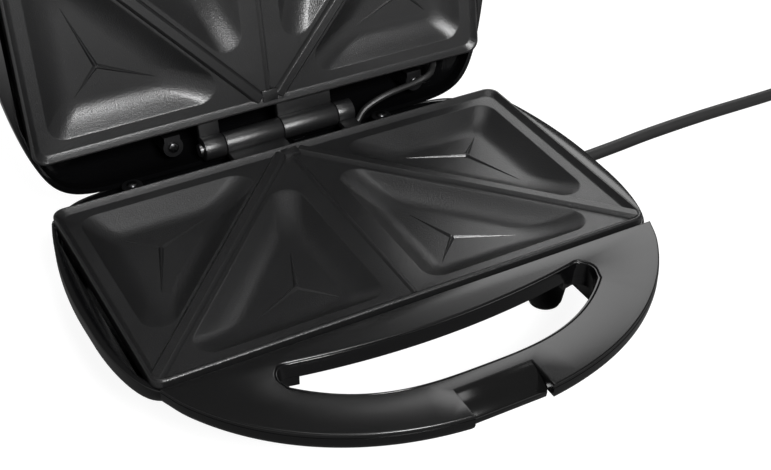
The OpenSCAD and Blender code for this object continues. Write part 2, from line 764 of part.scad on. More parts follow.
lid_wire_routes = [
  [[96, 57.5, -21.8], [97, 46, -22], [97.5, 32, -18], [96.5, 24.5, -15.6], [92.7, 22, -15.2]],
  [[92.7, -22, -15.2], [95.5, -23.5, -16], [96, -32, -20], [84, -38, -25.5], [40, -38, -27],
    [21.2, -38, -26.2]]];

module lid_wires() {
  color(black_matte) at_lid() for (w = lid_wire_routes) tube(smooth(w, 4), base_wire_r, 6);
}

// Latch: turns on a pin in the lid's handle. It is drawn hooked, then swung out as stored.
latch_pivot_up = 5;
latch_pivot_y = -133;
latch_half_w = notch_half_w - 0.4;

module at_latch() {
  at_lid() translate([0, latch_pivot_y, -latch_pivot_up]) rotate([latch_out, 0, 0])
    translate([0, -latch_pivot_y, latch_pivot_up]) children();
}

module latch() {
  color(black_gloss) at_latch() difference() {
    union() {
      translate([-latch_half_w, 0, 0]) rotate([90, 0, 90]) linear_extrude(2 * latch_half_w)
        polygon([[-139.6, -9.5], [-136, -9.9], [-131.5, -8.4], [-131.5, -2], [-136.6, -0.5], [-136.6, 10.9],
          [-131.5, 11.3], [-131.5, 13.6], [-139.2, 14.2], [-140.2, 12.4], [-140.4, 2], [-140.4, -8]]);
      translate([-latch_half_w, latch_pivot_y, -latch_pivot_up]) rotate([0, 90, 0])
        cylinder(r = 3.6, h = 2 * latch_half_w, $fn = 32);
    }
    translate([-latch_half_w - 1, latch_pivot_y, -latch_pivot_up]) rotate([0, 90, 0])
      cylinder(r = 1.65, h = 2 * latch_half_w + 2, $fn = 32);
  }
}

module latch_pin() {
  color(steel) at_lid() translate([-notch_half_w - 3.6, latch_pivot_y, -latch_pivot_up]) rotate([0, 90, 0])
    cylinder(r = 1.6, h = 2 * notch_half_w + 7.2, $fn = 32);
}

base_housing();
base_trim();
latch_keeper();
base_plate();
base_element();
base_shield();
base_plate_screws();
base_housing_screws();
feet();
foot_pads();
thermostat();
thermal_fuse();
terminal_block();
base_wires();
earth_screw();
cord_clamp();
strain_relief();
cord();
cord_coil();
plug_body();
plug_pins();
hinge_pin();
link_cable();
lid_housing();
lid_trim();
lid_plate();
lid_element();
lid_shield();
lid_plate_screws();
lid_housing_screws();
lid_wires();
lamp_bodies();
lamp_lenses();
latch();
latch_pin();
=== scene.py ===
"""Sandwich toaster with an open lid: the pieces that show, their finishes, the lead, and a plain studio.

Points of the plates and housings are written in the plate frame, in millimetres: the plate's rim is at
height 0, its pockets go down, and the hinge is at the rear. The lid is the same frame, mirrored and swung.
"""

import math

import bpy
from mathutils import Matrix, Vector
from mathutils.geometry import delaunay_2d_cdt


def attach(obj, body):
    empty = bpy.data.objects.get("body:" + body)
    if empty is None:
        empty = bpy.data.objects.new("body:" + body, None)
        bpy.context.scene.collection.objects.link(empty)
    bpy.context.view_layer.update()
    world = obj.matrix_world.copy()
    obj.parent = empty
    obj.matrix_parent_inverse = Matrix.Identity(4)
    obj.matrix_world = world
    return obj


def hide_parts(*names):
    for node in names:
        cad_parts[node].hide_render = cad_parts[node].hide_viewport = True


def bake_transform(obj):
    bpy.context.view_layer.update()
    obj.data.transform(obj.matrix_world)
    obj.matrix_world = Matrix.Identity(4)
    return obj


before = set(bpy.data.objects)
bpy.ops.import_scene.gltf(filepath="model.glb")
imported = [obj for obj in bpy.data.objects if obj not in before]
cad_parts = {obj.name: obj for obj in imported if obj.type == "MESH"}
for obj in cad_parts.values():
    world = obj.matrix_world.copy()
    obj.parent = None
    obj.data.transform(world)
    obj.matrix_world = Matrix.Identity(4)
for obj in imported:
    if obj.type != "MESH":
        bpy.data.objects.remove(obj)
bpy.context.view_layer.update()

bl_info = {
    "name": "Sandwich Toaster",
    "version": (1, 0, 0),
    "blender": (4, 5, 0),
    "location": "View3D > Sidebar > Toaster",
    "description": "Builds the visible pieces and finishes of an open sandwich toaster",
    "category": "Add Mesh",
}

MM = 0.001
UPRIGHT = Matrix.Identity(4)
PLATE_Y, RIM_Z, PLATE_GAP = 5.2, 50.0, 0.4
HINGE_Y, EAR_Y = 79.0, 76.0
LOWER_EARS, LID_EARS = (58, -75.5), (82, -50.6)
HINGE = Vector((0, HINGE_Y + PLATE_Y, 51.0))
OPEN_ANGLE = math.radians(98.2)
ROUND_STEPS = 4
BEVEL_ANGLE = math.radians(35)
MERGE, LOOSE_MERGE = 0.000004, 0.00002


# Sizes, colours and studio values that a user would change.


class ToasterSizes(bpy.types.PropertyGroup):
    """Small sizes of the visible pieces."""

    cast_edge: bpy.props.FloatProperty(
        name="Cast edge rounding", description="Rounding of the cooking plates' rims",
        default=0.0011, min=0.0004, max=0.0014, unit="LENGTH")
    trim_edge: bpy.props.FloatProperty(
        name="Trim edge rounding", description="Rounding of the handle trims' upper edges",
        default=0.0007, min=0.0002, max=0.0015, unit="LENGTH")
    shell_edge: bpy.props.FloatProperty(
        name="Housing edge rounding", description="Rounding of the glossy housings' edges",
        default=0.0006, min=0.0002, max=0.001, unit="LENGTH")
    lead: bpy.props.FloatProperty(
        name="Mains lead diameter", description="Diameter of the round mains lead",
        default=0.0068, min=0.006, max=0.007, unit="LENGTH")


class ToasterColours(bpy.types.PropertyGroup):
    """Base colours of the finishes."""

    gloss: bpy.props.FloatVectorProperty(
        name="Glossy housing", description="Colour of the glossy black housings",
        default=(0.002, 0.002, 0.0022), subtype="COLOR", min=0, max=1)
    satin: bpy.props.FloatVectorProperty(
        name="Satin trim", description="Colour of the satin handle trims",
        default=(0.003, 0.003, 0.0031), subtype="COLOR", min=0, max=1)
    coat: bpy.props.FloatVectorProperty(
        name="Non-stick coat", description="Colour of the cooking plates' coat",
        default=(0.0075, 0.0075, 0.0078), subtype="COLOR", min=0, max=1)
    power_lens: bpy.props.FloatVectorProperty(
        name="Power lens", description="Colour of the power lamp's lens",
        default=(0.55, 0.02, 0.01), subtype="COLOR", min=0, max=1)
    ready_lens: bpy.props.FloatVectorProperty(
        name="Ready lens", description="Colour of the ready lamp's lens",
        default=(0.02, 0.35, 0.05), subtype="COLOR", min=0, max=1)


class ToasterStudio(bpy.types.PropertyGroup):
    """Camera, lamps and floor."""

    lens: bpy.props.FloatProperty(
        name="Camera lens", description="Focal length on a 36 mm wide sensor, in millimetres",
        default=64.51, min=20, max=200)
    key_power: bpy.props.FloatProperty(
        name="Key light power", description="Power of the large soft light at the rear right",
        default=3.5, min=0, max=200, unit="POWER")
    front_power: bpy.props.FloatProperty(
        name="Front light power",
        description="Power of the soft light in front, which lights the lid's plate",
        default=23.0, min=0, max=200, unit="POWER")
    top_power: bpy.props.FloatProperty(
        name="Overhead light power", description="Power of the light above the plates",
        default=2.8, min=0, max=200, unit="POWER")
    world: bpy.props.FloatProperty(
        name="World light", description="Strength of the even light from all round",
        default=0.14, min=0, max=2)
    floor: bpy.props.FloatVectorProperty(
        name="Floor", description="Colour of the plain floor",
        default=(0.9, 0.9, 0.9), subtype="COLOR", min=0, max=1)


def sizes():
    return bpy.context.scene.toaster_sizes


def colours():
    return bpy.context.scene.toaster_colours


def studio():
    return bpy.context.scene.toaster_studio


# Places of the two halves.


def lower_place():
    return Matrix.Scale(MM, 4) @ Matrix.Translation((0, PLATE_Y, RIM_Z))


def lid_place():
    mirrored = Matrix.Scale(-1, 4, (0, 0, 1))
    swing = Matrix.Translation(HINGE) @ Matrix.Rotation(-OPEN_ANGLE, 4, "X") @ Matrix.Translation(-HINGE)
    return Matrix.Scale(MM, 4) @ swing @ Matrix.Translation((0, PLATE_Y, RIM_Z + PLATE_GAP)) @ mirrored


# Mesh helpers.


def deselect():
    if bpy.context.mode != "OBJECT":
        bpy.ops.object.mode_set(mode="OBJECT")
    bpy.ops.object.select_all(action="DESELECT")


def pick(piece):
    deselect()
    piece.select_set(True)
    bpy.context.view_layer.objects.active = piece


def shape_piece(name, points, faces, place=UPRIGHT, edges=()):
    mesh = bpy.data.meshes.new(name)
    mesh.from_pydata([place @ Vector(p) for p in points], edges, faces)
    piece = bpy.data.objects.new(name, mesh)
    bpy.context.scene.collection.objects.link(piece)
    return piece


def close_up(piece, smooth_deg=30.0):
    """Merges doubled points, turns the faces outwards and smooths the gentle edges."""
    pick(piece)
    bpy.ops.object.mode_set(mode="EDIT")
    bpy.ops.mesh.select_all(action="SELECT")
    bpy.ops.mesh.remove_doubles(threshold=MERGE)
    bpy.ops.mesh.normals_make_consistent(inside=False)
    bpy.ops.object.mode_set(mode="OBJECT")
    bpy.ops.object.shade_smooth_by_angle(angle=math.radians(smooth_deg))
    return piece


def set_bevel(bevel, width, segments=2):
    bevel.width = width
    bevel.segments = segments
    bevel.limit_method = "ANGLE"
    bevel.angle_limit = BEVEL_ANGLE


def round_edges(piece, width, segments):
    pick(piece)
    bpy.ops.object.modifier_add(type="BEVEL")
    bevel = piece.modifiers[-1]
    set_bevel(bevel, width, segments)
    bpy.ops.object.modifier_apply(modifier=bevel.name)


def join_pieces(pieces, name):
    pick(pieces[0])
    for other in pieces[1:]:
        other.select_set(True)
    if len(pieces) > 1:
        bpy.ops.object.join()
    joined = bpy.context.view_layer.objects.active
    joined.name = name
    joined.data.name = name
    return joined


def spun(name, outline, place, steps=64):
    """Turns an outline of radius and height about the Z axis of its place, in millimetres."""
    edges = [(i, i + 1) for i in range(len(outline) - 1)]
    piece = shape_piece(name, [(r, 0, h) for r, h in outline], [], edges=edges)
    pick(piece)
    bpy.ops.object.mode_set(mode="EDIT")
    bpy.ops.mesh.select_all(action="SELECT")
    bpy.ops.mesh.spin(steps=steps, angle=2 * math.pi, center=(0, 0, 0), axis=(0, 0, 1))
    bpy.ops.mesh.select_all(action="SELECT")
    bpy.ops.mesh.remove_doubles(threshold=0.001)
    bpy.ops.object.mode_set(mode="OBJECT")
    piece.data.transform(place)
    return close_up(piece)


def rounded_block(name, low, high, place, rounding, segments=3):
    """A cube at its size and place, with rounded edges."""
    deselect()
    mid = [(a + b) / 2 for a, b in zip(low, high)]
    bpy.ops.mesh.primitive_cube_add(size=1, location=mid)
    piece = bpy.context.object
    piece.scale = [b - a for a, b in zip(low, high)]
    bpy.ops.object.transform_apply(location=True, rotation=True, scale=True)
    round_edges(piece, rounding, segments)
    piece.data.transform(place)
    piece.name = name
    return close_up(piece)


def tube(name, way, radius, roundness):
    """A round bar with closed ends along a way in metres, as a curve."""
    curve = bpy.data.curves.new(name, "CURVE")
    curve.dimensions = "3D"
    curve.bevel_depth = radius
    curve.bevel_resolution = roundness
    curve.use_fill_caps = True
    line = curve.splines.new("POLY")
    line.points.add(len(way) - 1)
    for point, p in zip(line.points, way):
        point.co = (*p, 1)
    piece = bpy.data.objects.new(name, curve)
    bpy.context.scene.collection.objects.link(piece)
    return piece


def cover(piece, material):
    piece.data.materials.clear()
    piece.data.materials.append(material)


def finish_piece(piece, body, material, slot, *nodes):
    """Gives a new piece its finish and its body, and hides the CAD nodes it stands for. The slot is not used.
    """
    cover(piece, material)
    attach(piece, body)
    if nodes:
        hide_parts(*nodes)
    return piece


def dress(node, material, edge=0.0):
    """Gives a CAD node its finish and, where it shows closely, rounded edges."""
    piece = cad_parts[node]
    cover(piece, material)
    if edge:
        piece.modifiers.new("Weld", "WELD").merge_threshold = LOOSE_MERGE
        bevel = piece.modifiers.new("Bevel", "BEVEL")
        set_bevel(bevel, edge)
        bevel.harden_normals = True


def ringed(rings, closed_ends=True):
    """Points and faces through rings with equal counts. A closed end gets one flat face."""
    count = len(rings[0])
    points = [p for ring in rings for p in ring]
    faces = []
    for i in range(len(rings) - 1):
        for j in range(count):
            k = (j + 1) % count
            faces.append((i * count + j, i * count + k, (i + 1) * count + k, (i + 1) * count + j))
    if closed_ends:
        faces.append(tuple(range(count)))
        last = (len(rings) - 1) * count
        faces.append(tuple(range(last, last + count)))
    return points, faces


def inside(loop, x, y):
    """Whether a point lies within a flat loop."""
    odd = False
    for i, (x1, y1) in enumerate(loop):
        x0, y0 = loop[i - 1]
        if (y1 > y) != (y0 > y) and x < (x0 - x1) * (y - y1) / (y0 - y1) + x1:
            odd = not odd
    return odd


def filled(loops, level):
    """Triangles of the flat area inside the first loop and outside the others."""
    flat = [Vector(p[:2]) for loop in loops for p in loop]
    edges = []
    start = 0
    for loop in loops:
        n = len(loop)
        edges += [(start + i, start + (i + 1) % n) for i in range(n)]
        start += n
    found, _, triangles, _, _, _ = delaunay_2d_cdt(flat, edges, [], 0, 1e-5)
    outer = [tuple(p[:2]) for p in loops[0]]
    holes = [[tuple(p[:2]) for p in loop] for loop in loops[1:]]
    kept = []
    for t in triangles:
        cx = sum(found[i][0] for i in t) / 3
        cy = sum(found[i][1] for i in t) / 3
        if inside(outer, cx, cy) and not any(inside(h, cx, cy) for h in holes):
            kept.append(tuple(t))
    return [(p[0], p[1], level) for p in found], kept


def add_part(points, faces, more_points, more_faces):
    base = len(points)
    points += more_points
    faces += [tuple(base + i for i in f) for f in more_faces]


def pushed(loop, distance):
    """An anticlockwise loop moved outwards along the mean normal of its two edges."""
    out = []
    n = len(loop)
    for i in range(n):
        a, b, c = (Vector(loop[(i + k - 1) % n][:2]) for k in range(3))
        e, f = (b - a).normalized(), (c - b).normalized()
        half = e + f
        if half.length < 1e-6:
            half = e
        half.normalize()
        stretch = min(1 / max(0.3, half.dot(e)), 1.8)
        out.append((b.x + half.y * distance * stretch, b.y - half.x * distance * stretch))
    return out


def quarter_round(radius):
    """Inset and drop of the points of a rounded edge, from its side to its top."""
    turns = [i * math.pi / 2 / ROUND_STEPS for i in range(ROUND_STEPS + 1)]
    return [(radius * (1 - math.cos(t)), radius * (1 - math.sin(t))) for t in turns]


def slab(name, outer, holes, low, high, rounding, place, lower=0.0, lower_hole=None):
    """A flat sheet with holes, with its upper and lower edges rounded."""
    points, faces = [], []
    tops, bottoms = [], []
    for loop, sign in [(outer, -1)] + [(h, 1) for h in holes]:
        foot = lower if sign < 0 or lower_hole is None else lower_hole
        rows = [(i, low + d) for i, d in reversed(quarter_round(foot))] if foot else [(0.0, low)]
        rows += [(i, high - d) for i, d in quarter_round(rounding)] if rounding else [(0.0, high)]
        rings = [[(x, y, z) for x, y in pushed(loop, sign * inset)] for inset, z in rows]
        add_part(points, faces, *ringed(rings, closed_ends=False))
        tops.append(rings[-1])
        bottoms.append(rings[0])
    add_part(points, faces, *filled(tops, high))
    add_part(points, faces, *filled(bottoms, low))
    return close_up(shape_piece(name, points, faces, place))


# Shader node groups shared by several finishes.


def new_group(name, inputs, outputs):
    group = bpy.data.node_groups.new(name, "ShaderNodeTree")
    for label, value in inputs:
        socket = group.interface.new_socket(label, in_out="INPUT", socket_type="NodeSocketFloat")
        socket.default_value = value
    for label in outputs:
        group.interface.new_socket(label, in_out="OUTPUT", socket_type="NodeSocketFloat")
    return group, group.nodes.new("NodeGroupInput"), group.nodes.new("NodeGroupOutput")


def new_node(tree, kind, values=None, **settings):
    """A shader node with its settings, and with values on its unlinked sockets."""
    made = tree.nodes.new("ShaderNode" + kind)
    for setting, choice in settings.items():
        setattr(made, setting, choice)
    for socket, value in (values or {}).items():
        made.inputs[socket].default_value = value
    return made


def moulded_grain():
    """Fine grain of a moulded or coated surface: a height and a soft mottling mask."""
    inputs = [("Scale", 2000.0), ("Mottle Scale", 60.0)]
    group, given, out = new_group("moulded_grain", inputs, ["Height", "Mottle"])
    link = group.links.new
    coords = new_node(group, "TexCoord")
    for scale, mask, values in (("Scale", "Height", {"Detail": 3, "Roughness": 0.6}),
                                ("Mottle Scale", "Mottle", {"Detail": 4})):
        noise = new_node(group, "TexNoise", values)
        link(coords.outputs["Object"], noise.inputs["Vector"])
        link(given.outputs[scale], noise.inputs["Scale"])
        link(noise.outputs["Fac"], out.inputs[mask])
    return group


def dust_specks():
    """Specks in the middle of one cell in five, as a mask."""
    inputs = [("Scale", 400.0), ("Size", 0.08), ("Strength", 1.0)]
    group, given, out = new_group("dust_specks", inputs, ["Mask"])
    link = group.links.new
    coords = new_node(group, "TexCoord")
    cells = new_node(group, "TexVoronoi", {"Randomness": 1})
    near = new_node(group, "Math", operation="LESS_THAN")
    cell_value = new_node(group, "SeparateColor")
    few = new_node(group, "Math", {1: 0.8}, operation="GREATER_THAN")
    both = new_node(group, "Math", operation="MULTIPLY")
    strong = new_node(group, "Math", operation="MULTIPLY")
    link(coords.outputs["Object"], cells.inputs["Vector"])
    link(given.outputs["Scale"], cells.inputs["Scale"])
    link(cells.outputs["Distance"], near.inputs[0])
    link(given.outputs["Size"], near.inputs[1])
    link(cells.outputs["Color"], cell_value.inputs["Color"])
    link(cell_value.outputs["Red"], few.inputs[0])
    link(near.outputs[0], both.inputs[0])
    link(few.outputs[0], both.inputs[1])
    link(both.outputs[0], strong.inputs[0])
    link(given.outputs["Strength"], strong.inputs[1])
    link(strong.outputs[0], out.inputs["Mask"])
    return group


def group_node(tree, make, values):
    """A node that holds a shared group, which is made when it is first asked for."""
    node = new_node(tree, "Group", node_tree=bpy.data.node_groups.get(make.__name__) or make())
    for socket, value in values.items():
        node.inputs[socket].default_value = value
    return node


# Finishes.

WHITE = (1, 1, 1, 1)
SPECK_COLOUR = (0.05, 0.05, 0.05, 1)
COAT_ROUGHNESS = 0.04


def finish(name, colour, roughness, grain, metallic=0.0, specular=0.5, coat=0.0, colour_spread=0.15,
           rough_spread=0.06, bump=0.0, bump_distance=0.0001, specks=None):
    """One plain finish: mottled colour and roughness, a fine bump, and sparse specks where asked.

    The grain holds the scales of its fine and its broad part, the specks their scale, size and strength.
    """
    label = name + "_finish"  # the loaded model has plain materials under the slots' own names
    found = bpy.data.materials.get(label)
    if found:
        return found
    material = bpy.data.materials.new(label)
    material.use_nodes = True
    tree = material.node_tree
    link = tree.links.new
    shader = tree.nodes["Principled BSDF"]
    shader.inputs["Metallic"].default_value = metallic
    shader.inputs["Specular IOR Level"].default_value = specular
    if coat:
        shader.inputs["Coat Weight"].default_value = coat
        shader.inputs["Coat Roughness"].default_value = COAT_ROUGHNESS
    grains = group_node(tree, moulded_grain, dict(zip(("Scale", "Mottle Scale"), grain)))
    dark = [c * (1 - colour_spread) for c in colour] + [1]
    light = [min(1, c * (1 + colour_spread)) for c in colour] + [1]
    shade = new_node(tree, "Mix", {"A": dark, "B": light}, data_type="RGBA")
    link(grains.outputs["Mottle"], shade.inputs["Factor"])
    spread = new_node(tree, "MapRange", {"To Min": max(0.02, roughness - rough_spread),
                                         "To Max": min(1.0, roughness + rough_spread)})
    link(grains.outputs["Mottle"], spread.inputs["Value"])
    link(spread.outputs["Result"], shader.inputs["Roughness"])
    if specks:
        dots = group_node(tree, dust_specks, dict(zip(("Scale", "Size", "Strength"), specks)))
        plain = shade
        shade = new_node(tree, "Mix", {"B": SPECK_COLOUR}, data_type="RGBA")
        link(dots.outputs["Mask"], shade.inputs["Factor"])
        link(plain.outputs["Result"], shade.inputs["A"])
    link(shade.outputs["Result"], shader.inputs["Base Color"])
    if bump:
        bumps = new_node(tree, "Bump", {"Strength": bump, "Distance": bump_distance})
        link(grains.outputs["Height"], bumps.inputs["Height"])
        link(bumps.outputs["Normal"], shader.inputs["Normal"])
    return material


def gloss_black():
    return finish("gloss_black", colours().gloss, 0.12, grain=(900.0, 25.0), rough_spread=0.03,
                  bump=0.03, bump_distance=0.00008, specks=(260.0, 0.05, 0.5))


def satin_black():
    return finish("satin_black", colours().satin, 0.235, grain=(1100.0, 30.0), rough_spread=0.02,
                  bump=0.5, bump_distance=0.00002)


def coat_black():
    return finish("non_stick", colours().coat, 0.32, specular=0.65, grain=(1450.0, 45.0), rough_spread=0.04,
                  bump=0.8, bump_distance=0.00017, specks=(900.0, 0.16, 0.6))


def matte_black():
    return finish("matte_black", (0.003, 0.003, 0.003), 0.15, grain=(1800.0, 40.0), bump=0.05)


def lead_rubber():
    return finish("lead_rubber", (0.014, 0.014, 0.014), 0.5, grain=(1500.0, 60.0), bump=0.2)


def pad_rubber():
    return finish("pad_rubber", (0.02, 0.02, 0.02), 0.85, grain=(1500.0, 60.0), bump=0.4)


def screw_steel():
    return finish("screw_steel", (0.07, 0.07, 0.072), 0.32, metallic=1.0, grain=(900.0, 120.0), bump=0.15)


def shield_sheet():
    return finish("shield_sheet", (0.045, 0.045, 0.047), 0.45, metallic=1.0, grain=(600.0, 50.0), bump=0.2)


def element_tube():
    return finish("element_tube", (0.22, 0.21, 0.2), 0.5, metallic=1.0, grain=(900.0, 70.0), bump=0.3)


def pin_metal():
    return finish("pin_metal", (0.3, 0.3, 0.3), 0.3, metallic=1.0, grain=(900.0, 90.0), bump=0.05)


def ceramic_cream():
    return finish("ceramic_cream", (0.62, 0.58, 0.48), 0.55, grain=(1200.0, 80.0), bump=0.2)


def fuse_sleeve():
    return finish("fuse_sleeve", (0.55, 0.52, 0.45), 0.7, grain=(2500.0, 120.0), bump=0.5)


def wire_cover():
    return finish("wire_cover", (0.008, 0.008, 0.008), 0.45, grain=(1200.0, 60.0), bump=0.1)


def lens(name, colour):
    return finish(name, colour, 0.12, grain=(500.0, 80.0), coat=0.6, colour_spread=0.1)


# The cooking plates.

PLATE_W, PLATE_D = 236.0, 132.0
LAND, POCKET, CAST, RIM_FOOT = -2.3, 7.2, 2.2, -7.0
POCKET_RUN, POCKET_STEPS = 15.4, 26
RIDGE_DIR = Vector((112, -124)).normalized()
RIDGE_OUT = Vector((-RIDGE_DIR.y, RIDGE_DIR.x))
RIDGE_FROM = Vector((4, 62))
RIDGE_ENDS = (166.8, 166.8, 168.0, 168.2, 164.6, 164.3, 163.5, 163.5)


def ridge_x(y, off):
    return RIDGE_FROM.x + (off - RIDGE_OUT.y * (y - RIDGE_FROM.y)) / RIDGE_OUT.x


def ridge_y(x, off):
    return RIDGE_FROM.y + (off - RIDGE_OUT.x * (x - RIDGE_FROM.x)) / RIDGE_OUT.y


REAR_CORNERS = [Vector((108.6, 56.5)), Vector((ridge_x(56.5, 5), 56.5)), Vector((108.6, ridge_y(108.6, 5)))]
FRONT_CORNERS = [Vector((10, -57.3)), Vector((ridge_x(-57.3, -5), -57.3)), Vector((10, ridge_y(10, -5)))]
REAR_HEART, FRONT_HEART = Vector((79.8, 28)), Vector((39.1, -26.9))
REAR_ENDS = [Vector((92, 40.5)), Vector((50.5, 41)), Vector((91.5, -3))]
FRONT_ENDS = [Vector((30.5, -2.8)), Vector((25.5, -41)), Vector((65, -39.5))]
BOSSES = [(0, -48), (0, 34), (69, -10), (-69, -10)]
CREASE = [(-1, -0.25), (-0.85, 0.12), (-0.12, 0.93), (0.12, 0.93), (0.85, 0.12), (1, -0.25)]
RIDGE = [(-3.1, LAND - 0.4), (-3.0, LAND + 0.05), (-1.75, -0.62), (-1.45, -0.45), (2.2, -0.45), (2.5, -0.62),
         (3.75, LAND + 0.05), (3.85, LAND - 0.4)]
MIDDLE_RIDGE = [(-1.5, LAND - 0.4), (-1.4, LAND + 0.04), (-0.5, -1.62), (-0.3, -1.5), (0.3, -1.5),
                (0.5, -1.62), (1.4, LAND + 0.04), (1.5, LAND - 0.4)]
BOSS = [(1.9, -19.9), (3.7, -19.9), (4.0, -19.6), (4.0, -2.6), (0.001, -2.6), (0.001, -11.5), (1.9, -11.5),
        (1.9, -19.9)]


def with_sides(arcs, side_steps):
    """A loop through its corners' arcs, with points along the straight sides between them."""
    points = []
    for k, arc in enumerate(arcs):
        (ax, ay), (bx, by) = arc[-1], arcs[(k + 1) % len(arcs)][0]
        points += arc
        points += [(ax + (bx - ax) * s / side_steps, ay + (by - ay) * s / side_steps)
                   for s in range(1, side_steps)]
    return points


def rect_ring(width, depth, radius, level):
    """A rectangle's loop with round corners, anticlockwise."""
    corner_steps, side_steps = 9, 8
    arcs = []
    for q in range(4):
        cx = (1 if q in (0, 3) else -1) * (width / 2 - radius)
        cy = (1 if q < 2 else -1) * (depth / 2 - radius)
        turns = [math.radians(90 * q + 90 * s / corner_steps) for s in range(corner_steps + 1)]
        arcs.append([(cx + radius * math.cos(a), cy + radius * math.sin(a)) for a in turns])
    return [(x, y, level) for x, y in with_sides(arcs, side_steps)]


def pocket_ring(tri, inset, radius, level, flip):
    """A loop inside a triangle, moved in from its sides, with rounded corners."""
    corner_steps, side_steps = 12, 10
    arcs = []
    for k in range(3):
        v = tri[k]
        a = (tri[(k + 2) % 3] - v).normalized()
        b = (tri[(k + 1) % 3] - v).normalized()
        half = math.acos(a.dot(b)) / 2
        c = v + (a + b).normalized() * (inset + radius) / math.sin(half)
        start = math.atan2(-a.y, -a.x) - math.pi / 2
        turn = (math.atan2(b.y, b.x) - math.pi / 2 - start) % (2 * math.pi)
        turns = [start + turn * s / corner_steps for s in range(corner_steps + 1)]
        arcs.append([(c.x + radius * math.cos(t), c.y + radius * math.sin(t)) for t in turns])
    points = with_sides(arcs, side_steps)
    if flip:
        points = [(-x, y) for x, y in reversed(points)]
    return [(x, y, level) for x, y in points]


def pocket_rows(grow):
    """Inset, depth below the land and corner radius of each row, from the top edge to the floor."""
    rows = [(-0.35 - grow, 0.0, 8.8 + grow)]
    for i in range(POCKET_STEPS + 1):
        run = POCKET_RUN * (i / POCKET_STEPS) ** 1.1
        depth = POCKET * math.sin(math.pi / 2 * min(1.0, run / (POCKET_RUN - 0.6)))
        soft_lip = 0.06 * math.exp(-run / 0.5)
        rows.append((run - grow, depth + soft_lip, 8.5 - 3.5 * run / POCKET_RUN + grow))
    return rows


def plate_shell():
    """The cast plate: rim, land, four pockets and their underside."""
    r = sizes().cast_edge / MM
    rim = [(2.5, LAND - CAST), (2.5, RIM_FOOT), (0.0, RIM_FOOT)] + [(i, -d) for i, d in quarter_round(r)]
    rim += [(r + 0.25, -0.06), (2.4, -1.05), (3.6, -2.0), (4.0, LAND + 0.08), (4.5, LAND)]
    rings = [rect_ring(PLATE_W - 2 * i, PLATE_D - 2 * i, 6 - 0.35 * i, z) for i, z in rim]
    points, faces = [], []
    add_part(points, faces, *ringed(rings, closed_ends=False))
    edges, lower_edges = [], []
    for tri in (REAR_CORNERS, FRONT_CORNERS):
        for flip in (False, True):
            for grow, level, kept in ((0.0, LAND, edges), (CAST, LAND - CAST, lower_edges)):
                rows = [pocket_ring(tri, inset, radius, min(LAND - depth - grow, level), flip)
                        for inset, depth, radius in pocket_rows(grow)]
                kept.append(rows[0])
                add_part(points, faces, *ringed(rows, closed_ends=False))
                add_part(points, faces, rows[-1], [tuple(range(len(rows[-1])))])
    add_part(points, faces, *filled([rings[-1]] + edges, LAND))
    add_part(points, faces, *filled([rings[0]] + lower_edges, LAND - CAST))
    return points, faces


def bar(start, along, out, lengths, section):
    """A straight bar with a given section across its run. Each of its edges has its own length."""
    rings = []
    for far in (0, 1):
        rings.append([(start.x + along.x * far * s + out.x * t, start.y + along.y * far * s + out.y * t, z)
                      for (t, z), s in zip(section, lengths)])
    return ringed(rings)


def wedge(heart, end):
    """One arm of a pocket's crease, wide and high at the middle and tapered to a point."""
    d = (end - heart).normalized()
    n = Vector((-d.y, d.x))
    floor = LAND - POCKET
    length = (end - heart).length
    rings = []
    for s in (-0.8, 0.0, 0.35 * length, 0.7 * length, length):
        left = 1 - max(0.0, s) / length
        w, h = 1.25 * left + 0.12, 1.0 * left + 0.1
        c = heart + d * s
        rings.append([(c.x + n.x * w * t, c.y + n.y * w * t, floor + h * z) for t, z in CREASE])
    return ringed(rings)


def plate_details():
    """Ridges between the pockets, and the creases on the pockets' floors."""
    points, faces = [], []
    for side in (1, -1):
        parts = [bar(RIDGE_FROM + RIDGE_DIR, RIDGE_DIR, RIDGE_OUT, RIDGE_ENDS, RIDGE)]
        parts += [wedge(REAR_HEART, end) for end in REAR_ENDS]
        parts += [wedge(FRONT_HEART, end) for end in FRONT_ENDS]
        for part_points, part_faces in parts:
            add_part(points, faces, [(side * x, y, z) for x, y, z in part_points], part_faces)
    lengths = [121] * len(MIDDLE_RIDGE)
    add_part(points, faces, *bar(Vector((0, 59)), Vector((0, -1)), Vector((1, 0)), lengths, MIDDLE_RIDGE))
    return points, faces


def cooking_plate(name, place):
    """The cast plate with its ridges, creases, rear block and screw bosses."""
    parts = [close_up(shape_piece(name, *plate_shell(), place), 28)]
    parts.append(close_up(shape_piece(name + "_details", *plate_details(), place), 25))
    parts.append(rounded_block(name + "_stop", (-4, 57.5, LAND - 0.3), (4, 63.4, -0.45), place, 0.35, 2))
    for x, y in BOSSES:
        parts.append(spun(name + "_boss", BOSS, place @ Matrix.Translation((x, y, 0)), 32))
    return join_pieces(parts, name)


def knuckle(name, x0, x1, up, place):
    """One hinge barrel with rounded ends and the web that carries it."""
    r, bore, edge = 5.7, 2.05, 0.45
    long = x1 - x0
    end = [(bore, 0), (r - edge, 0), (r - 0.3 * edge, 0.3 * edge), (r, edge)]
    outline = end + [(radius, long - h) for radius, h in reversed(end)] + end[:1]
    turn = place @ Matrix.Translation((x0, HINGE_Y, up)) @ Matrix.Rotation(math.pi / 2, 4, "Y")
    barrel = spun(name, outline, turn, 72)
    low, high = (x0 + 0.1, 64.2, up - r + 0.25), (x1 - 0.1, HINGE_Y - 0.8, up - r + 3.7)
    return [barrel, rounded_block(name + "_web", low, high, place, 0.5)]


# The housings.

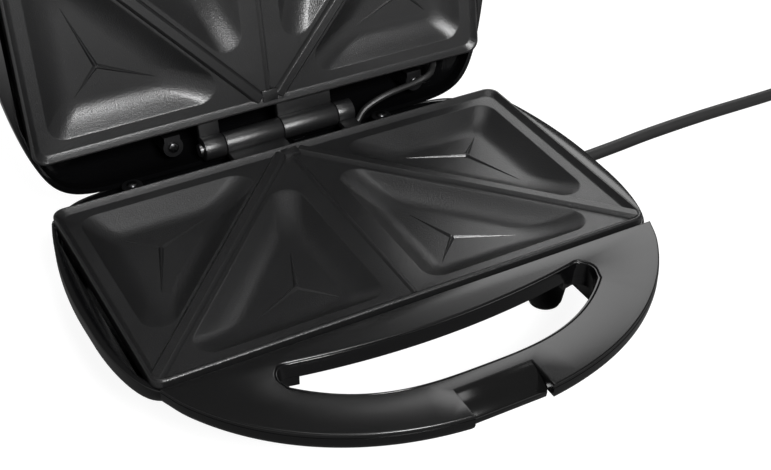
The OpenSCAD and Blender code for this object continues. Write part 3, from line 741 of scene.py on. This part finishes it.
# Each row of a wall has its level and its insets from the flanks, the front and the rear.
BOWL = [(-32, 36, 33, 14), (-30, 30, 29.5, 9), (-26, 20, 24.5, 5), (-21, 12, 17.6, 2.5), (-15, 4.5, 9.4, 0.5),
        (-10.5, 0, 3.2, 0), (-7.5, 0, 0.3, 0), (-2, 0, 0, 0)]
HOLLOW = [(-29.5, 38.5, 36.5, 16), (-27.8, 31, 30.8, 11.2), (-24.3, 22, 26.4, 7.4), (-19.6, 14, 19.9, 5),
          (-14.2, 6.9, 12.5, 3), (-10, 2.5, 6, 2.5), (-7, 2.5, 3, 2.5), (1, 2.5, 2.5, 2.5)]
DECK_EDGE, FRAME_FOOT, CUP_FOOT, REAR_TOP = -69.4, -8.4, -12.5, -12.2
HALF_W, REACH, HANDLE_FROM, HANDLE_POWER, NOTCH = 128.2, 140.4, -15.0, 2.15, 17.7
HANDLE_HALF = HALF_W - 0.3
REAR_REACH, FRONT_REACH, FRONT_BOW = 88.5, 85.2, 0.00143
FRONT_TOP, SIDE_TOP, CUT_FROM, CUT_RUN = -2.15, -4.0, 63, 14
FLANGE_IN, FLANGE_REAR, FLANGE_FRONT, SHELF = 120.5, 66.5, -69.3, 2.5
SLOT_HALF, NOTCH_BACK = 73.8, -123.5
ARM_BOXES = [((75.5, -98, -9), (92.5, -68, -8)), ((78, -86, -9), (104, -68, -8)),
             ((75.5, -86, -20.5), (89.5, -70, -19.5))]
POST = [(4.3, -29), (5.6, -29.6), (5.6, -20.6), (4.3, -20.6), (4.3, -29)]
EAR_POST = [(1.3, -20), (1.3, -6.45), (4.5, -6.45), (4.8, -6.75), (4.8, -28.6), (0.001, -28.6), (0.001, -20),
            (1.3, -20)]
OUTER_LEVELS = [-32, -31.7, -31.2, -30.6, *range(-30, -11), -11.2, -10.5, -9.5, -7.5, -5.5]
INNER_LEVELS = [-6.6, -8, -9.4, -10, -11, -12, -13, -14.2, -15.5, -17, -18.5, -20, -21.5, -23, -24.3, -25.5,
                -26.8, -27.8, -28.5, -29, -29.5]


def slope(a, b, k):
    return (b[k] - a[k]) / (b[0] - a[0])


def mean_slope(a, b):
    """A slope between two others, and none where they differ in sign, so a curve doesn't overshoot."""
    return 0.0 if a * b <= 0 else 2 * a * b / (a + b)


def section_at(section, level):
    """Insets of a wall at a level, on a smooth line through the section's rows."""
    last = len(section) - 2
    i = next((n for n in range(last) if level <= section[n + 1][0]), last)
    a, b = section[i], section[i + 1]
    h = b[0] - a[0]
    s = min(1.0, max(0.0, (level - a[0]) / h))
    out = []
    for k in (1, 2, 3):
        here = slope(a, b, k)
        before = slope(section[i - 1], a, k) if i else here
        after = slope(b, section[i + 2], k) if i < last else here
        m0, m1 = mean_slope(before, here), mean_slope(after, here)
        out.append((2 * s**3 - 3 * s**2 + 1) * a[k] + (s**3 - 2 * s**2 + s) * h * m0
                   + (-2 * s**3 + 3 * s**2) * b[k] + (s**3 - s**2) * h * m1)
    return out


def handle_x(y):
    """Half the width of the outline that the handle's arch and the front of the bowl share."""
    u = min(1.0, max(0.0, (HANDLE_FROM - y) / (REACH + HANDLE_FROM)))
    return HANDLE_HALF * (1 - u**HANDLE_POWER) ** (1 / HANDLE_POWER)


def flank_x(y):
    return handle_x(y) if y < HANDLE_FROM else HALF_W - (y + 3) ** 2 / 460


def quarter_shares():
    """Points of a quarter of a square with a round corner, as shares of its two sides."""
    power = 12
    mid = 0.5 ** (1 / power)
    steps = [0.0, 0.07, 0.14, 0.21, 0.28, 0.35, 0.42, 0.48, 0.54, 0.6, 0.65, 0.7, 0.74, 0.78, 0.81, 0.84,
             0.865, 0.89, 0.91, 0.928]
    first = [((1 - v**power) ** (1 / power), v) for v in steps]
    return first + [(mid, mid)] + [(b, a) for a, b in reversed(first)]


QUARTER = quarter_shares()


def plan_loop(in_side, in_front, in_rear):
    """The bowl's plan at one level, anticlockwise."""

    def corner(reach, front):
        found = []
        for qx, qy in QUARTER:
            y = -reach * qy if front else reach * qy
            x = qx * (flank_x(y) - in_side)
            found.append((x, y + FRONT_BOW * x * x * qy**8 if front else y))
        return found

    rear = corner(REAR_REACH - in_rear, False)
    front = corner(FRONT_REACH - in_front, True)
    right = list(reversed(front[1:])) + rear
    left = [(-x, y) for x, y in reversed(right)]
    return right[:-1] + left[:-1]


def rim_top(y, cut_rear):
    """Level of the housing's upper edge."""
    if y < DECK_EDGE - 0.4:
        return FRONT_TOP
    if not cut_rear or y < CUT_FROM:
        return SIDE_TOP
    return max(REAR_TOP, SIDE_TOP + (REAR_TOP - SIDE_TOP) * (y - CUT_FROM) / CUT_RUN)


def eased(s):
    """A soft step from 0 to 1."""
    s = min(1.0, max(0.0, s))
    return s * s * (3 - 2 * s)


def bowl_shell(cut_rear):
    """The bowl with its wall, its rounded upper edge and the flange along its flanks."""
    r = sizes().shell_edge / MM
    tops = [rim_top(y, cut_rear) for _, y in plan_loop(*section_at(BOWL, -2.0))]

    def wall(section, levels, inset=0.0):
        loops = {}
        ring = []
        for j, level in enumerate(levels):
            key = round(level, 4)
            if key not in loops:
                loops[key] = plan_loop(*(share + inset for share in section_at(section, level)))
            ring.append((*loops[key][j], level))
        return ring

    rings = [wall(BOWL, [min(z, top - r) for top in tops]) for z in OUTER_LEVELS]
    rings.append(wall(BOWL, [top - r for top in tops]))
    rings.append(wall(BOWL, [top - 0.3 * r for top in tops], 0.3 * r))
    rings.append(wall(BOWL, tops, r))
    shelf = wall(BOWL, tops, SHELF)
    for drop in (0.0, 0.35, 2.6):
        flanged = []
        for x, y, z in shelf:
            part = eased((FLANGE_REAR - y) / 3.0) * eased((y - FLANGE_FRONT) / 0.6)
            width = max(0.0, abs(x) - FLANGE_IN) * part
            flanged.append((x - math.copysign(width, x), y, z - (drop if part > 0.01 else 0.0)))
        rings.append(flanged)
    rings += [wall(HOLLOW, [min(z, top - 0.02) for top in tops]) for z in INNER_LEVELS]
    return ringed(rings)


def handle_loop(back_y, grow=0.0):
    """Outer edge of the handle in front of a line, with the latch's notch, anticlockwise."""
    power = 2 / HANDLE_POWER
    reach = REACH + HANDLE_FROM
    first = math.asin(((HANDLE_FROM - back_y) / reach) ** (1 / power))
    steps = 52
    right = []
    for i in range(steps + 1):
        a = first + (math.pi / 2 - first) * i / steps
        x, y = HANDLE_HALF * math.cos(a) ** power, HANDLE_FROM - reach * math.sin(a) ** power
        if x > NOTCH + 0.6:
            x -= 0.75 * eased((y + 82) / (82 + back_y))
            right.append((x + grow * math.cos(a), y - grow * math.sin(a)))
    tip = HANDLE_FROM - reach * (1 - (NOTCH / HANDLE_HALF) ** HANDLE_POWER) ** (1 / HANDLE_POWER)
    right += [(NOTCH, y) for y in (tip - grow, -132.0, -128.0, NOTCH_BACK)]
    return [(-x, y) for x, y in right] + list(reversed(right))


def grip_loop(grow):
    """The finger opening's edge, anticlockwise."""
    s = (SLOT_HALF + grow) / SLOT_HALF
    front = [(x * s, -115.8 + 26 * (abs(x) / 74) ** 3 - grow) for x in range(-72, 73, 3)]
    end = [(73.0, -89.4), (73.75, -87.6), (74.1, -85.9), (73.95, -84.2), (73.3, -82.2), (72.2, -80.6)]
    end = [(x * s, y) for x, y in end] + [(70.6 * s, -79.4 + grow), (68.4 * s, -79.1 + grow)]
    rear = [(x * s, -86.2 + 0.0015 * x * x + grow) for x in range(66, -67, -3)]
    return front + end + rear + [(-x, y) for x, y in reversed(end)]


def cup_loop(side):
    """The band round one end of the finger opening, where its wall goes deeper."""
    near, far = ([(x, y) for x, y in grip_loop(grow) if x > 61.5 and y > -92] for grow in (0.0, 4.0))
    band = far + list(reversed(near))
    return band if side > 0 else [(-x, y) for x, y in reversed(band)]


def handle_arm(name, side, place):
    """The block that carries one end of the handle, as a hull round three flat boxes."""
    points = [(side * x, y, z) for low, high in ARM_BOXES for x in (low[0], high[0])
              for y in (low[1], high[1]) for z in (low[2], high[2])]
    piece = shape_piece(name, points, [])
    pick(piece)
    bpy.ops.object.mode_set(mode="EDIT")
    bpy.ops.mesh.select_all(action="SELECT")
    bpy.ops.mesh.convex_hull()
    bpy.ops.object.mode_set(mode="OBJECT")
    round_edges(piece, 1.4, 3)
    piece.data.transform(place)
    return close_up(piece)


def housing(name, place, cut_rear, ears):
    """The bowl, the handle's frame and lips, its arms and the posts inside."""
    handle, slot = handle_loop(DECK_EDGE), grip_loop(0.0)
    parts = [close_up(shape_piece(name, *bowl_shell(cut_rear), place), 32)]
    parts.append(slab(name + "_frame", handle, [slot], FRAME_FOOT, -2.03, 0.0, place, 3.2, 0.7))
    parts.append(slab(name + "_slot_lip", grip_loop(0.9), [grip_loop(0.02)], -2.6, -0.4, 0.35, place))
    edge = sorted((p for p in plan_loop(0.6, 0.6, 0.6) if p[1] < DECK_EDGE - 0.8), key=lambda p: p[0])
    deck = [(edge[0][0], DECK_EDGE)] + edge + [(edge[-1][0], DECK_EDGE)]
    parts.append(slab(name + "_deck", deck, [], -6.6, -2.12, 0.0, place))
    for side in (1, -1):
        parts.append(slab(name + "_cup", cup_loop(side), [], CUP_FOOT, -7.5, 0.0, place, 0.6))
        parts.append(handle_arm(name + "_arm", side, place))
    for x, y in BOSSES:
        parts.append(spun(name + "_post", POST, place @ Matrix.Translation((x, y, 0)), 32))
    for x in ears:
        parts.append(spun(name + "_ear_post", EAR_POST, place @ Matrix.Translation((x, EAR_Y, 0)), 40))
    if cut_rear:
        for x in (-20, 12):
            parts.append(rounded_block(name + "_rib", (x, 82.7, -20.7), (x + 6, 85.7, -10.4), place, 0.6))
    return join_pieces(parts, name)


def trim(name, place):
    r = sizes().trim_edge / MM
    return slab(name, handle_loop(DECK_EDGE, -0.15), [grip_loop(1.0)], -1.95, 0.0, r, place)


# Small pieces.


def keeper_piece():
    """The dark insert in the handle's notch, with a smoothly rounded front."""
    front = [(NOTCH_BACK, -0.2), (-126.5, -0.8), (-130, -2.2), (-133, -3.9), (-135, -5.6), (-135.6, -7),
             (-135.2, -9.4)]
    curve = smooth_way([Vector(p) for p in front], 6)
    section = [(p.x, p.y) for p in curve]
    section += [(-134.5, -10.2), (-133.5, -10.4), (-124.5, -10.4), (NOTCH_BACK, -9.4)]
    mid_y, mid_z = -128.6, -6.4
    ends = [(0.0, 0.955), (0.1, 0.985), (0.35, 1.0)]
    rings = []
    for x, share in ends + [(2 * NOTCH - x, share) for x, share in reversed(ends)]:
        across = [mid_y + (y - mid_y) * share for y, _ in section]
        up = [mid_z + (z - mid_z) * share for _, z in section]
        rings.append([(x - NOTCH, y, z) for y, z in zip(across, up)])
    return close_up(shape_piece("handle_keeper", *ringed(rings), lower_place()), 40)


def cross_screw(name, place):
    """A pan head with a cross recess, and its shank."""
    head_r, head_h, shank_r, shank = 2.6, 1.6, 1.3, 12.0
    dome = [(0.001, head_h), (0.9, head_h - 0.02), (1.7, head_h - 0.18), (2.3, head_h - 0.5),
            (head_r, head_h - 1.0), (head_r, 0.0), (shank_r, 0.0), (shank_r, 1.0 - shank), (0.3, -shank),
            (0.001, -shank)]
    head = spun(name, dome, UPRIGHT, 36)
    for angle in (0.0, math.pi / 2):
        deselect()
        bpy.ops.mesh.primitive_cube_add(size=1, location=(0, 0, head_h))
        cutter = bpy.context.object
        cutter.scale = (3.0, 0.62, 1.3)
        bpy.ops.object.transform_apply(location=True, rotation=True, scale=True)
        cutter.data.transform(Matrix.Rotation(angle, 4, "Z"))
        pick(head)
        bpy.ops.object.modifier_add(type="BOOLEAN")
        cut = head.modifiers[-1]
        cut.operation = "DIFFERENCE"
        cut.solver = "EXACT"
        cut.object = cutter
        bpy.ops.object.modifier_apply(modifier=cut.name)
        bpy.data.objects.remove(cutter)
    head.data.transform(place)
    return close_up(head)


# The lead, from the strain relief along the table to the wound rest and the plug.

LEAD_R, LEAD_BEND = 3.4, 27.2
TILT = math.radians(38)
RELIEF_AT = Vector((110.5, 44 + PLATE_Y, -21.4 + RIM_Z))
RELIEF_STEP = Vector((math.cos(TILT), 0, -math.sin(TILT)))
RELIEF_END = RELIEF_AT + 30 * RELIEF_STEP
COIL_MID = Vector((345, PLATE_Y + 4))
COIL_R = 44.0
COIL_TOP = COIL_MID.y + COIL_R
TURN_GAP = 7.35
COIL_ENTRY = 333.0
PLUG_X, PLUG_Z = 411.0, 18.5


def smooth_way(points, steps):
    """Points on a smooth curve through a few route points."""
    out = []
    n = len(points)
    for i in range(n - 1):
        a = points[i - 1] if i else 2 * points[0] - points[1]
        b, c = points[i], points[i + 1]
        d = points[i + 2] if i + 2 < n else 2 * points[-1] - points[-2]
        for k in range(steps):
            s = k / steps
            out.append(0.5 * ((2 * b) + (c - a) * s + (2 * a - 5 * b + 4 * c - d) * s * s
                              + (3 * b - a - 3 * c + d) * s**3))
    return out + [points[-1]]


def lead_way():
    """The lead's centreline in millimetres, in the frame that all pieces share."""
    start = RELIEF_END + 3 * RELIEF_STEP
    way = [RELIEF_END - 26 * RELIEF_STEP, RELIEF_END - 12 * RELIEF_STEP, RELIEF_END, start]
    for s in (0.25, 0.5, 0.75, 1.0):
        a = TILT * (1 - s)
        along = LEAD_BEND * (math.sin(TILT) - math.sin(a))
        down = LEAD_BEND * (math.cos(TILT) - math.cos(a))
        way.append(start + Vector((along, 0, down)))
    end = way[-1]
    floor = [(end.x + 6, end.y), (168.5, PLATE_Y + 44.3), (190, PLATE_Y + 45.7), (212, PLATE_Y + 47.4),
             (250, PLATE_Y + 48.5), (290, COIL_TOP), (COIL_ENTRY - 8, COIL_TOP)]
    way += smooth_way([Vector((x, y, LEAD_R)) for x, y in floor], 3)
    way += [Vector((COIL_ENTRY, COIL_TOP, LEAD_R)), Vector((COIL_ENTRY + 6.8, COIL_TOP, LEAD_R))]
    for i in range(4 * 24 + 1):
        a = i * 15.0
        radius = COIL_R - TURN_GAP * (720 - abs(a - 720)) / 360
        lift = eased((a - 630) / 180.0)
        way.append(Vector((COIL_MID.x + radius * math.sin(math.radians(a)),
                           COIL_MID.y + radius * math.cos(math.radians(a)), LEAD_R + TURN_GAP * lift)))
    tail = [(COIL_MID.x + 14, LEAD_R + TURN_GAP), (COIL_MID.x + 38, 14.5), (PLUG_X - 8, PLUG_Z),
            (PLUG_X + 4, PLUG_Z)]
    return way + smooth_way([Vector((x, COIL_TOP, z)) for x, z in tail], 4)


def strain_relief_piece():
    """Ribbed tapered sleeve where the lead leaves the flank."""
    turn = Matrix.Rotation(math.pi / 2 + TILT, 4, "Y")
    place = lower_place() @ Matrix.Translation((110.5, 44, -21.4)) @ turn
    outline = [(3.5, -8), (6.2, -8), (6.5, -7.6), (6.5, 3.0)]
    z = 3.0
    while z < 26.5:
        body = 6.3 - (z - 3.0) * 0.066
        outline += [(body, z + 0.15), (body - 0.55, z + 0.7), (body - 0.55, z + 1.5), (body - 0.1, z + 2.1),
                    (body - 0.1, z + 2.9)]
        z += 3.2
    outline += [(4.5, 28.6), (4.35, 29.6), (4.0, 30.0), (3.5, 30.0), (3.5, -8)]
    return spun("strain_relief_sleeve", outline, place, 48)


def plug_piece():
    """Moulded round plug: neck with ribs, flared shoulder, and a face with a shallow rim."""
    at = Matrix.Translation((PLUG_X, COIL_TOP, PLUG_Z))
    place = Matrix.Scale(MM, 4) @ at @ Matrix.Rotation(math.pi / 2, 4, "Y")
    outline = [(3.5, 0.3), (4.2, 0.0), (4.4, 0.5)]
    z = 1.5
    while z < 20:
        r = 4.4 + 2.0 * z / 22
        outline += [(r, z), (r - 0.45, z + 0.5), (r - 0.45, z + 1.2), (r + 0.05, z + 1.8)]
        z += 3.0
    outline += [(6.5, 21.8), (7.4, 22.2), (8.6, 22.8), (11.5, 26.2), (14.4, 30.6), (16.4, 34.0),
                (17.6, 36.4), (18.2, 38.2), (18.45, 40.0), (18.45, 53.6), (18.1, 54.6), (17.3, 55.0),
                (14.6, 55.0), (14.3, 54.6), (0.001, 54.6), (0.001, 0.3), (3.5, 0.3)]
    return spun("mains_plug", outline, place, 72)


def link_cable_piece():
    """The cable from the lower half into the lid, in its shape at rest."""
    route = [(30, 73, -15.5), (38, 75.5, -12.5), (45, 78, -7), (51, 79.3, -1.2), (63, 79.4, 3.2),
             (80, 80.4, 5), (90, 82, 7.5), (95.5, 90, 12), (96, 101, 17)]
    place = lower_place()
    way = [place @ p for p in smooth_way([Vector(p) for p in route], 6)]
    pick(tube("link_cable_sleeve", way, 1.7 * MM, 4))
    bpy.ops.object.convert(target="MESH")
    return close_up(bpy.context.object)


# Operators, one for each piece or group of like pieces.

CAMERA_AT, CAMERA_TILT, CAMERA_TURN = (-0.227729, -0.450493, 0.410625), 53.789, -28.459
LAMP_AIM, LAMP_REACH = 0.06, 1.3
GROUND_SIZE, GROUND_LEVEL = 6, -0.0002
LENS = [(0.001, -25.9), (3.0, -26.0), (3.1, -29.4), (4.4, -29.5), (4.4, -32.1), (4.0, -32.4),
        (2.6, -32.57), (0.001, -32.6), (0.001, -25.9)]


class TOASTER_OT_studio(bpy.types.Operator):
    """Add the camera, the lamps, the world and the floor"""

    bl_idname = "toaster.studio"
    bl_label = "Add studio"

    def execute(self, context):
        scene = context.scene
        scene.view_settings.view_transform = "Standard"
        camera = bpy.data.cameras.new("product_camera")
        camera.lens = studio().lens
        camera.sensor_width = 36
        camera.clip_start = 0.01
        stand = bpy.data.objects.new("product_camera", camera)
        stand.location = CAMERA_AT
        stand.rotation_euler = (math.radians(CAMERA_TILT), 0, math.radians(CAMERA_TURN))
        scene.collection.objects.link(stand)
        scene.camera = stand
        self.lamp("key_rear_right", 47, 34, (0.7, 0.55), studio().key_power)
        self.lamp("front", -95, 40, (0.34, 0.34), studio().front_power)
        self.lamp("overhead", 0, 89, (0.5, 0.5), studio().top_power)
        self.world(scene)
        self.floor()
        return {"FINISHED"}

    def lamp(self, name, turn_deg, height_deg, size, power):
        """A soft panel on a ring round the toaster, aimed at the middle of its plates."""
        turn, height = math.radians(turn_deg), math.radians(height_deg)
        out = Vector((math.cos(height) * math.cos(turn), math.cos(height) * math.sin(turn), math.sin(height)))
        light = bpy.data.lights.new(name, "AREA")
        light.shape = "RECTANGLE"
        light.size, light.size_y = size
        light.energy = power
        holder = bpy.data.objects.new(name, light)
        holder.location = Vector((0, 0, LAMP_AIM)) + LAMP_REACH * out
        holder.rotation_euler = (-out).to_track_quat("-Z", "Y").to_euler()
        bpy.context.scene.collection.objects.link(holder)

    def world(self, scene):
        """Plain white to the camera, and an even light to every other ray."""
        world = bpy.data.worlds.new("plain_studio")
        scene.world = world
        world.use_nodes = True
        tree = world.node_tree
        tree.nodes.clear()
        link = tree.links.new
        out = new_node(tree, "OutputWorld")
        path = new_node(tree, "LightPath")
        soft = new_node(tree, "Background", {"Color": WHITE, "Strength": studio().world})
        white = new_node(tree, "Background", {"Color": WHITE, "Strength": 1.0})
        seen = new_node(tree, "MixShader")
        link(path.outputs["Is Camera Ray"], seen.inputs["Fac"])
        link(soft.outputs[0], seen.inputs[1])
        link(white.outputs[0], seen.inputs[2])
        link(seen.outputs[0], out.inputs["Surface"])

    def floor(self):
        """White to the camera with the toaster's shadow; to other rays its colour holds painted shade, darker
        near the toaster.
        """
        deselect()
        bpy.ops.mesh.primitive_plane_add(size=GROUND_SIZE, location=(0, 0, GROUND_LEVEL))
        ground = bpy.context.object
        ground.name = "plain_floor"
        material = bpy.data.materials.new("plain_floor")
        material.use_nodes = True
        tree = material.node_tree
        link = tree.links.new
        shader = tree.nodes["Principled BSDF"]
        shader.inputs["Roughness"].default_value = 0.9
        shader.inputs["Specular IOR Level"].default_value = 0.1
        far_tone = list(studio().floor)
        # Painted shade: to rays other than camera rays, the floor's colour drops to 0.12 of its tone near the
        # toaster, in place of the toaster's shadow.
        painted_shade_tone = new_node(tree, "Mix", data_type="RGBA")
        painted_shade_tone.inputs["A"].default_value = [0.12 * c for c in far_tone] + [1]
        painted_shade_tone.inputs["B"].default_value = far_tone + [1]
        coords = new_node(tree, "TexCoord")
        reach = new_node(tree, "VectorMath", operation="LENGTH")
        painted_shade_fall = new_node(tree, "MapRange", {"From Min": 0.2, "From Max": 0.6})
        far_or_seen = new_node(tree, "Math", operation="MAXIMUM")
        glow = new_node(tree, "Emission", {"Color": WHITE, "Strength": 1.22})
        path = new_node(tree, "LightPath")
        share = new_node(tree, "Math", {1: 0.75}, operation="MULTIPLY")
        mix = new_node(tree, "MixShader")
        link(coords.outputs["Object"], reach.inputs[0])
        link(reach.outputs["Value"], painted_shade_fall.inputs["Value"])
        link(painted_shade_fall.outputs["Result"], far_or_seen.inputs[0])
        link(path.outputs["Is Camera Ray"], far_or_seen.inputs[1])
        link(far_or_seen.outputs[0], painted_shade_tone.inputs["Factor"])
        link(painted_shade_tone.outputs["Result"], shader.inputs["Base Color"])
        link(path.outputs["Is Camera Ray"], share.inputs[0])
        link(share.outputs[0], mix.inputs["Fac"])
        link(shader.outputs[0], mix.inputs[1])
        link(glow.outputs[0], mix.inputs[2])
        link(mix.outputs[0], tree.nodes["Material Output"].inputs["Surface"])
        cover(ground, material)


class TOASTER_OT_lead(bpy.types.Operator):
    """Add the mains lead with its strain relief, wound rest and plug"""

    bl_idname = "toaster.lead"
    bl_label = "Add mains lead"

    def execute(self, context):
        way = lead_way()
        lead = tube("mains_lead", [[c * MM for c in p] for p in way], sizes().lead / 2, 5)
        finish_piece(lead, "lower", lead_rubber(), "lead_rubber", "cord", "cord_coil")
        sleeve = finish_piece(strain_relief_piece(), "lower", lead_rubber(), "lead_rubber", "strain_relief")
        plug = finish_piece(plug_piece(), "lower", lead_rubber(), "lead_rubber", "plug_body")
        dress("plug_pins", pin_metal())
        return {"FINISHED"}


class TOASTER_OT_plates(bpy.types.Operator):
    """Add the two cast cooking plates with their hinge barrels"""

    bl_idname = "toaster.plates"
    bl_label = "Add cooking plates"

    def execute(self, context):
        lower = [cooking_plate("lower_plate", lower_place())]
        lower += knuckle("lower_barrel", -27, 3, 1, lower_place())
        lower += knuckle("lower_end_barrel", 33, 42, 1, lower_place())
        finish_piece(join_pieces(lower, "lower_plate"), "lower", coat_black(), "non_stick", "base_plate")
        up = PLATE_GAP - 1
        lid = [cooking_plate("upper_plate", lid_place())]
        lid += knuckle("upper_barrel", 3.3, 32.7, up, lid_place())
        lid += knuckle("upper_end_barrel", -38, -27.3, up, lid_place())
        finish_piece(join_pieces(lid, "upper_plate"), "lid", coat_black(), "non_stick", "lid_plate")
        dress("hinge_pin", pin_metal())
        return {"FINISHED"}


class TOASTER_OT_housings(bpy.types.Operator):
    """Add the two glossy housings with the handle's frame"""

    bl_idname = "toaster.housings"
    bl_label = "Add housings"

    def execute(self, context):
        lower = housing("lower_housing", lower_place(), True, LOWER_EARS)
        finish_piece(lower, "lower", gloss_black(), "gloss_black", "base_housing")
        lid = housing("upper_housing", lid_place(), False, LID_EARS)
        finish_piece(lid, "lid", gloss_black(), "gloss_black", "lid_housing")
        return {"FINISHED"}


class TOASTER_OT_trims(bpy.types.Operator):
    """Add the satin trims on the two handles"""

    bl_idname = "toaster.trims"
    bl_label = "Add handle trims"

    def execute(self, context):
        lower = trim("lower_trim", lower_place())
        finish_piece(lower, "lower", satin_black(), "satin_black", "base_trim")
        lid = trim("upper_trim", lid_place())
        finish_piece(lid, "lid", satin_black(), "satin_black", "lid_trim")
        return {"FINISHED"}


class TOASTER_OT_keeper(bpy.types.Operator):
    """Add the dark insert in the lower handle's notch"""

    bl_idname = "toaster.keeper"
    bl_label = "Add handle keeper"

    def execute(self, context):
        finish_piece(keeper_piece(), "lower", matte_black(), "matte_black", "latch_keeper")
        return {"FINISHED"}


class TOASTER_OT_screws(bpy.types.Operator):
    """Add the cross-head screws that hold the shields' ears"""

    bl_idname = "toaster.screws"
    bl_label = "Add screws"

    def execute(self, context):
        for name, place, ears, body, node in (
            ("lower_ear_screws", lower_place(), LOWER_EARS, "lower", "base_housing_screws"),
            ("upper_ear_screws", lid_place(), LID_EARS, "lid", "lid_housing_screws"),
        ):
            turn = Matrix.Rotation(0.5, 4, "Z")
            made = [cross_screw(name, place @ Matrix.Translation((x, EAR_Y, -5.7)) @ turn) for x in ears]
            finish_piece(join_pieces(made, name), body, screw_steel(), "screw_steel", node)
        return {"FINISHED"}


class TOASTER_OT_lamps(bpy.types.Operator):
    """Add the two lamp lenses on the lid"""

    bl_idname = "toaster.lamps"
    bl_label = "Add lamps"

    def execute(self, context):
        for x, name, tint in (
            (-14, "power_lens", colours().power_lens),
            (14, "ready_lens", colours().ready_lens),
        ):
            piece = spun(name, LENS, lid_place() @ Matrix.Translation((x, -38, 0)), 40)
            finish_piece(piece, "lid", lens(name, tint), "lens")
        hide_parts("lamp_lenses")
        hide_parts("lamp_lenses")
        return {"FINISHED"}


class TOASTER_OT_link(bpy.types.Operator):
    """Add the cable that bends from the lower half into the lid"""

    bl_idname = "toaster.link"
    bl_label = "Add link cable"

    def execute(self, context):
        piece = link_cable_piece()
        cover(piece, wire_cover())
        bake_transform(piece)
        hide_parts("link_cable")
        return {"FINISHED"}


class TOASTER_OT_finishes(bpy.types.Operator):
    """Give the remaining CAD pieces their finishes"""

    bl_idname = "toaster.finishes"
    bl_label = "Finish the other pieces"

    def execute(self, context):
        dress("feet", gloss_black(), 0.0006)
        dress("foot_pads", pad_rubber(), 0.0004)
        dress("latch", gloss_black(), 0.0006)
        dress("latch_pin", pin_metal())
        for node in ("base_shield", "lid_shield"):
            dress(node, shield_sheet())
        for node in ("base_element", "lid_element"):
            dress(node, element_tube())
        for node in ("base_plate_screws", "lid_plate_screws", "earth_screw"):
            dress(node, screw_steel())
        for node in ("thermostat", "terminal_block", "lamp_bodies"):
            dress(node, ceramic_cream(), 0.0003)
        dress("thermal_fuse", fuse_sleeve())
        dress("cord_clamp", matte_black(), 0.0004)
        for node in ("base_wires", "lid_wires"):
            dress(node, wire_cover())
        return {"FINISHED"}


PIECES = (TOASTER_OT_studio, TOASTER_OT_lead, TOASTER_OT_plates, TOASTER_OT_housings, TOASTER_OT_trims,
          TOASTER_OT_keeper, TOASTER_OT_screws, TOASTER_OT_lamps, TOASTER_OT_link, TOASTER_OT_finishes)


class TOASTER_PT_pieces(bpy.types.Panel):
    """Lists the pieces and the values that shape them"""

    bl_label = "Sandwich toaster"
    bl_space_type = "VIEW_3D"
    bl_region_type = "UI"
    bl_category = "Toaster"

    def draw(self, context):
        for piece in PIECES:
            self.layout.operator(piece.bl_idname)
        for group in (sizes(), colours(), studio()):
            for name in group.bl_rna.properties.keys():
                if name not in ("rna_type", "name"):
                    self.layout.prop(group, name)


GROUPS = (("toaster_sizes", ToasterSizes), ("toaster_colours", ToasterColours),
          ("toaster_studio", ToasterStudio))
CLASSES = tuple(group for _, group in GROUPS) + PIECES + (TOASTER_PT_pieces,)


def register():
    for cls in CLASSES:
        bpy.utils.register_class(cls)
    for name, group in GROUPS:
        setattr(bpy.types.Scene, name, bpy.props.PointerProperty(type=group))


def unregister():
    for name, _ in GROUPS:
        delattr(bpy.types.Scene, name)
    for cls in reversed(CLASSES):
        bpy.utils.unregister_class(cls)


def main():
    register()
    bpy.ops.toaster.studio()
    bpy.ops.toaster.lead()
    bpy.ops.toaster.plates()
    bpy.ops.toaster.housings()
    bpy.ops.toaster.trims()
    bpy.ops.toaster.keeper()
    bpy.ops.toaster.screws()
    bpy.ops.toaster.lamps()
    bpy.ops.toaster.link()
    bpy.ops.toaster.finishes()
    deselect()


if __name__ == "__main__":
    main()
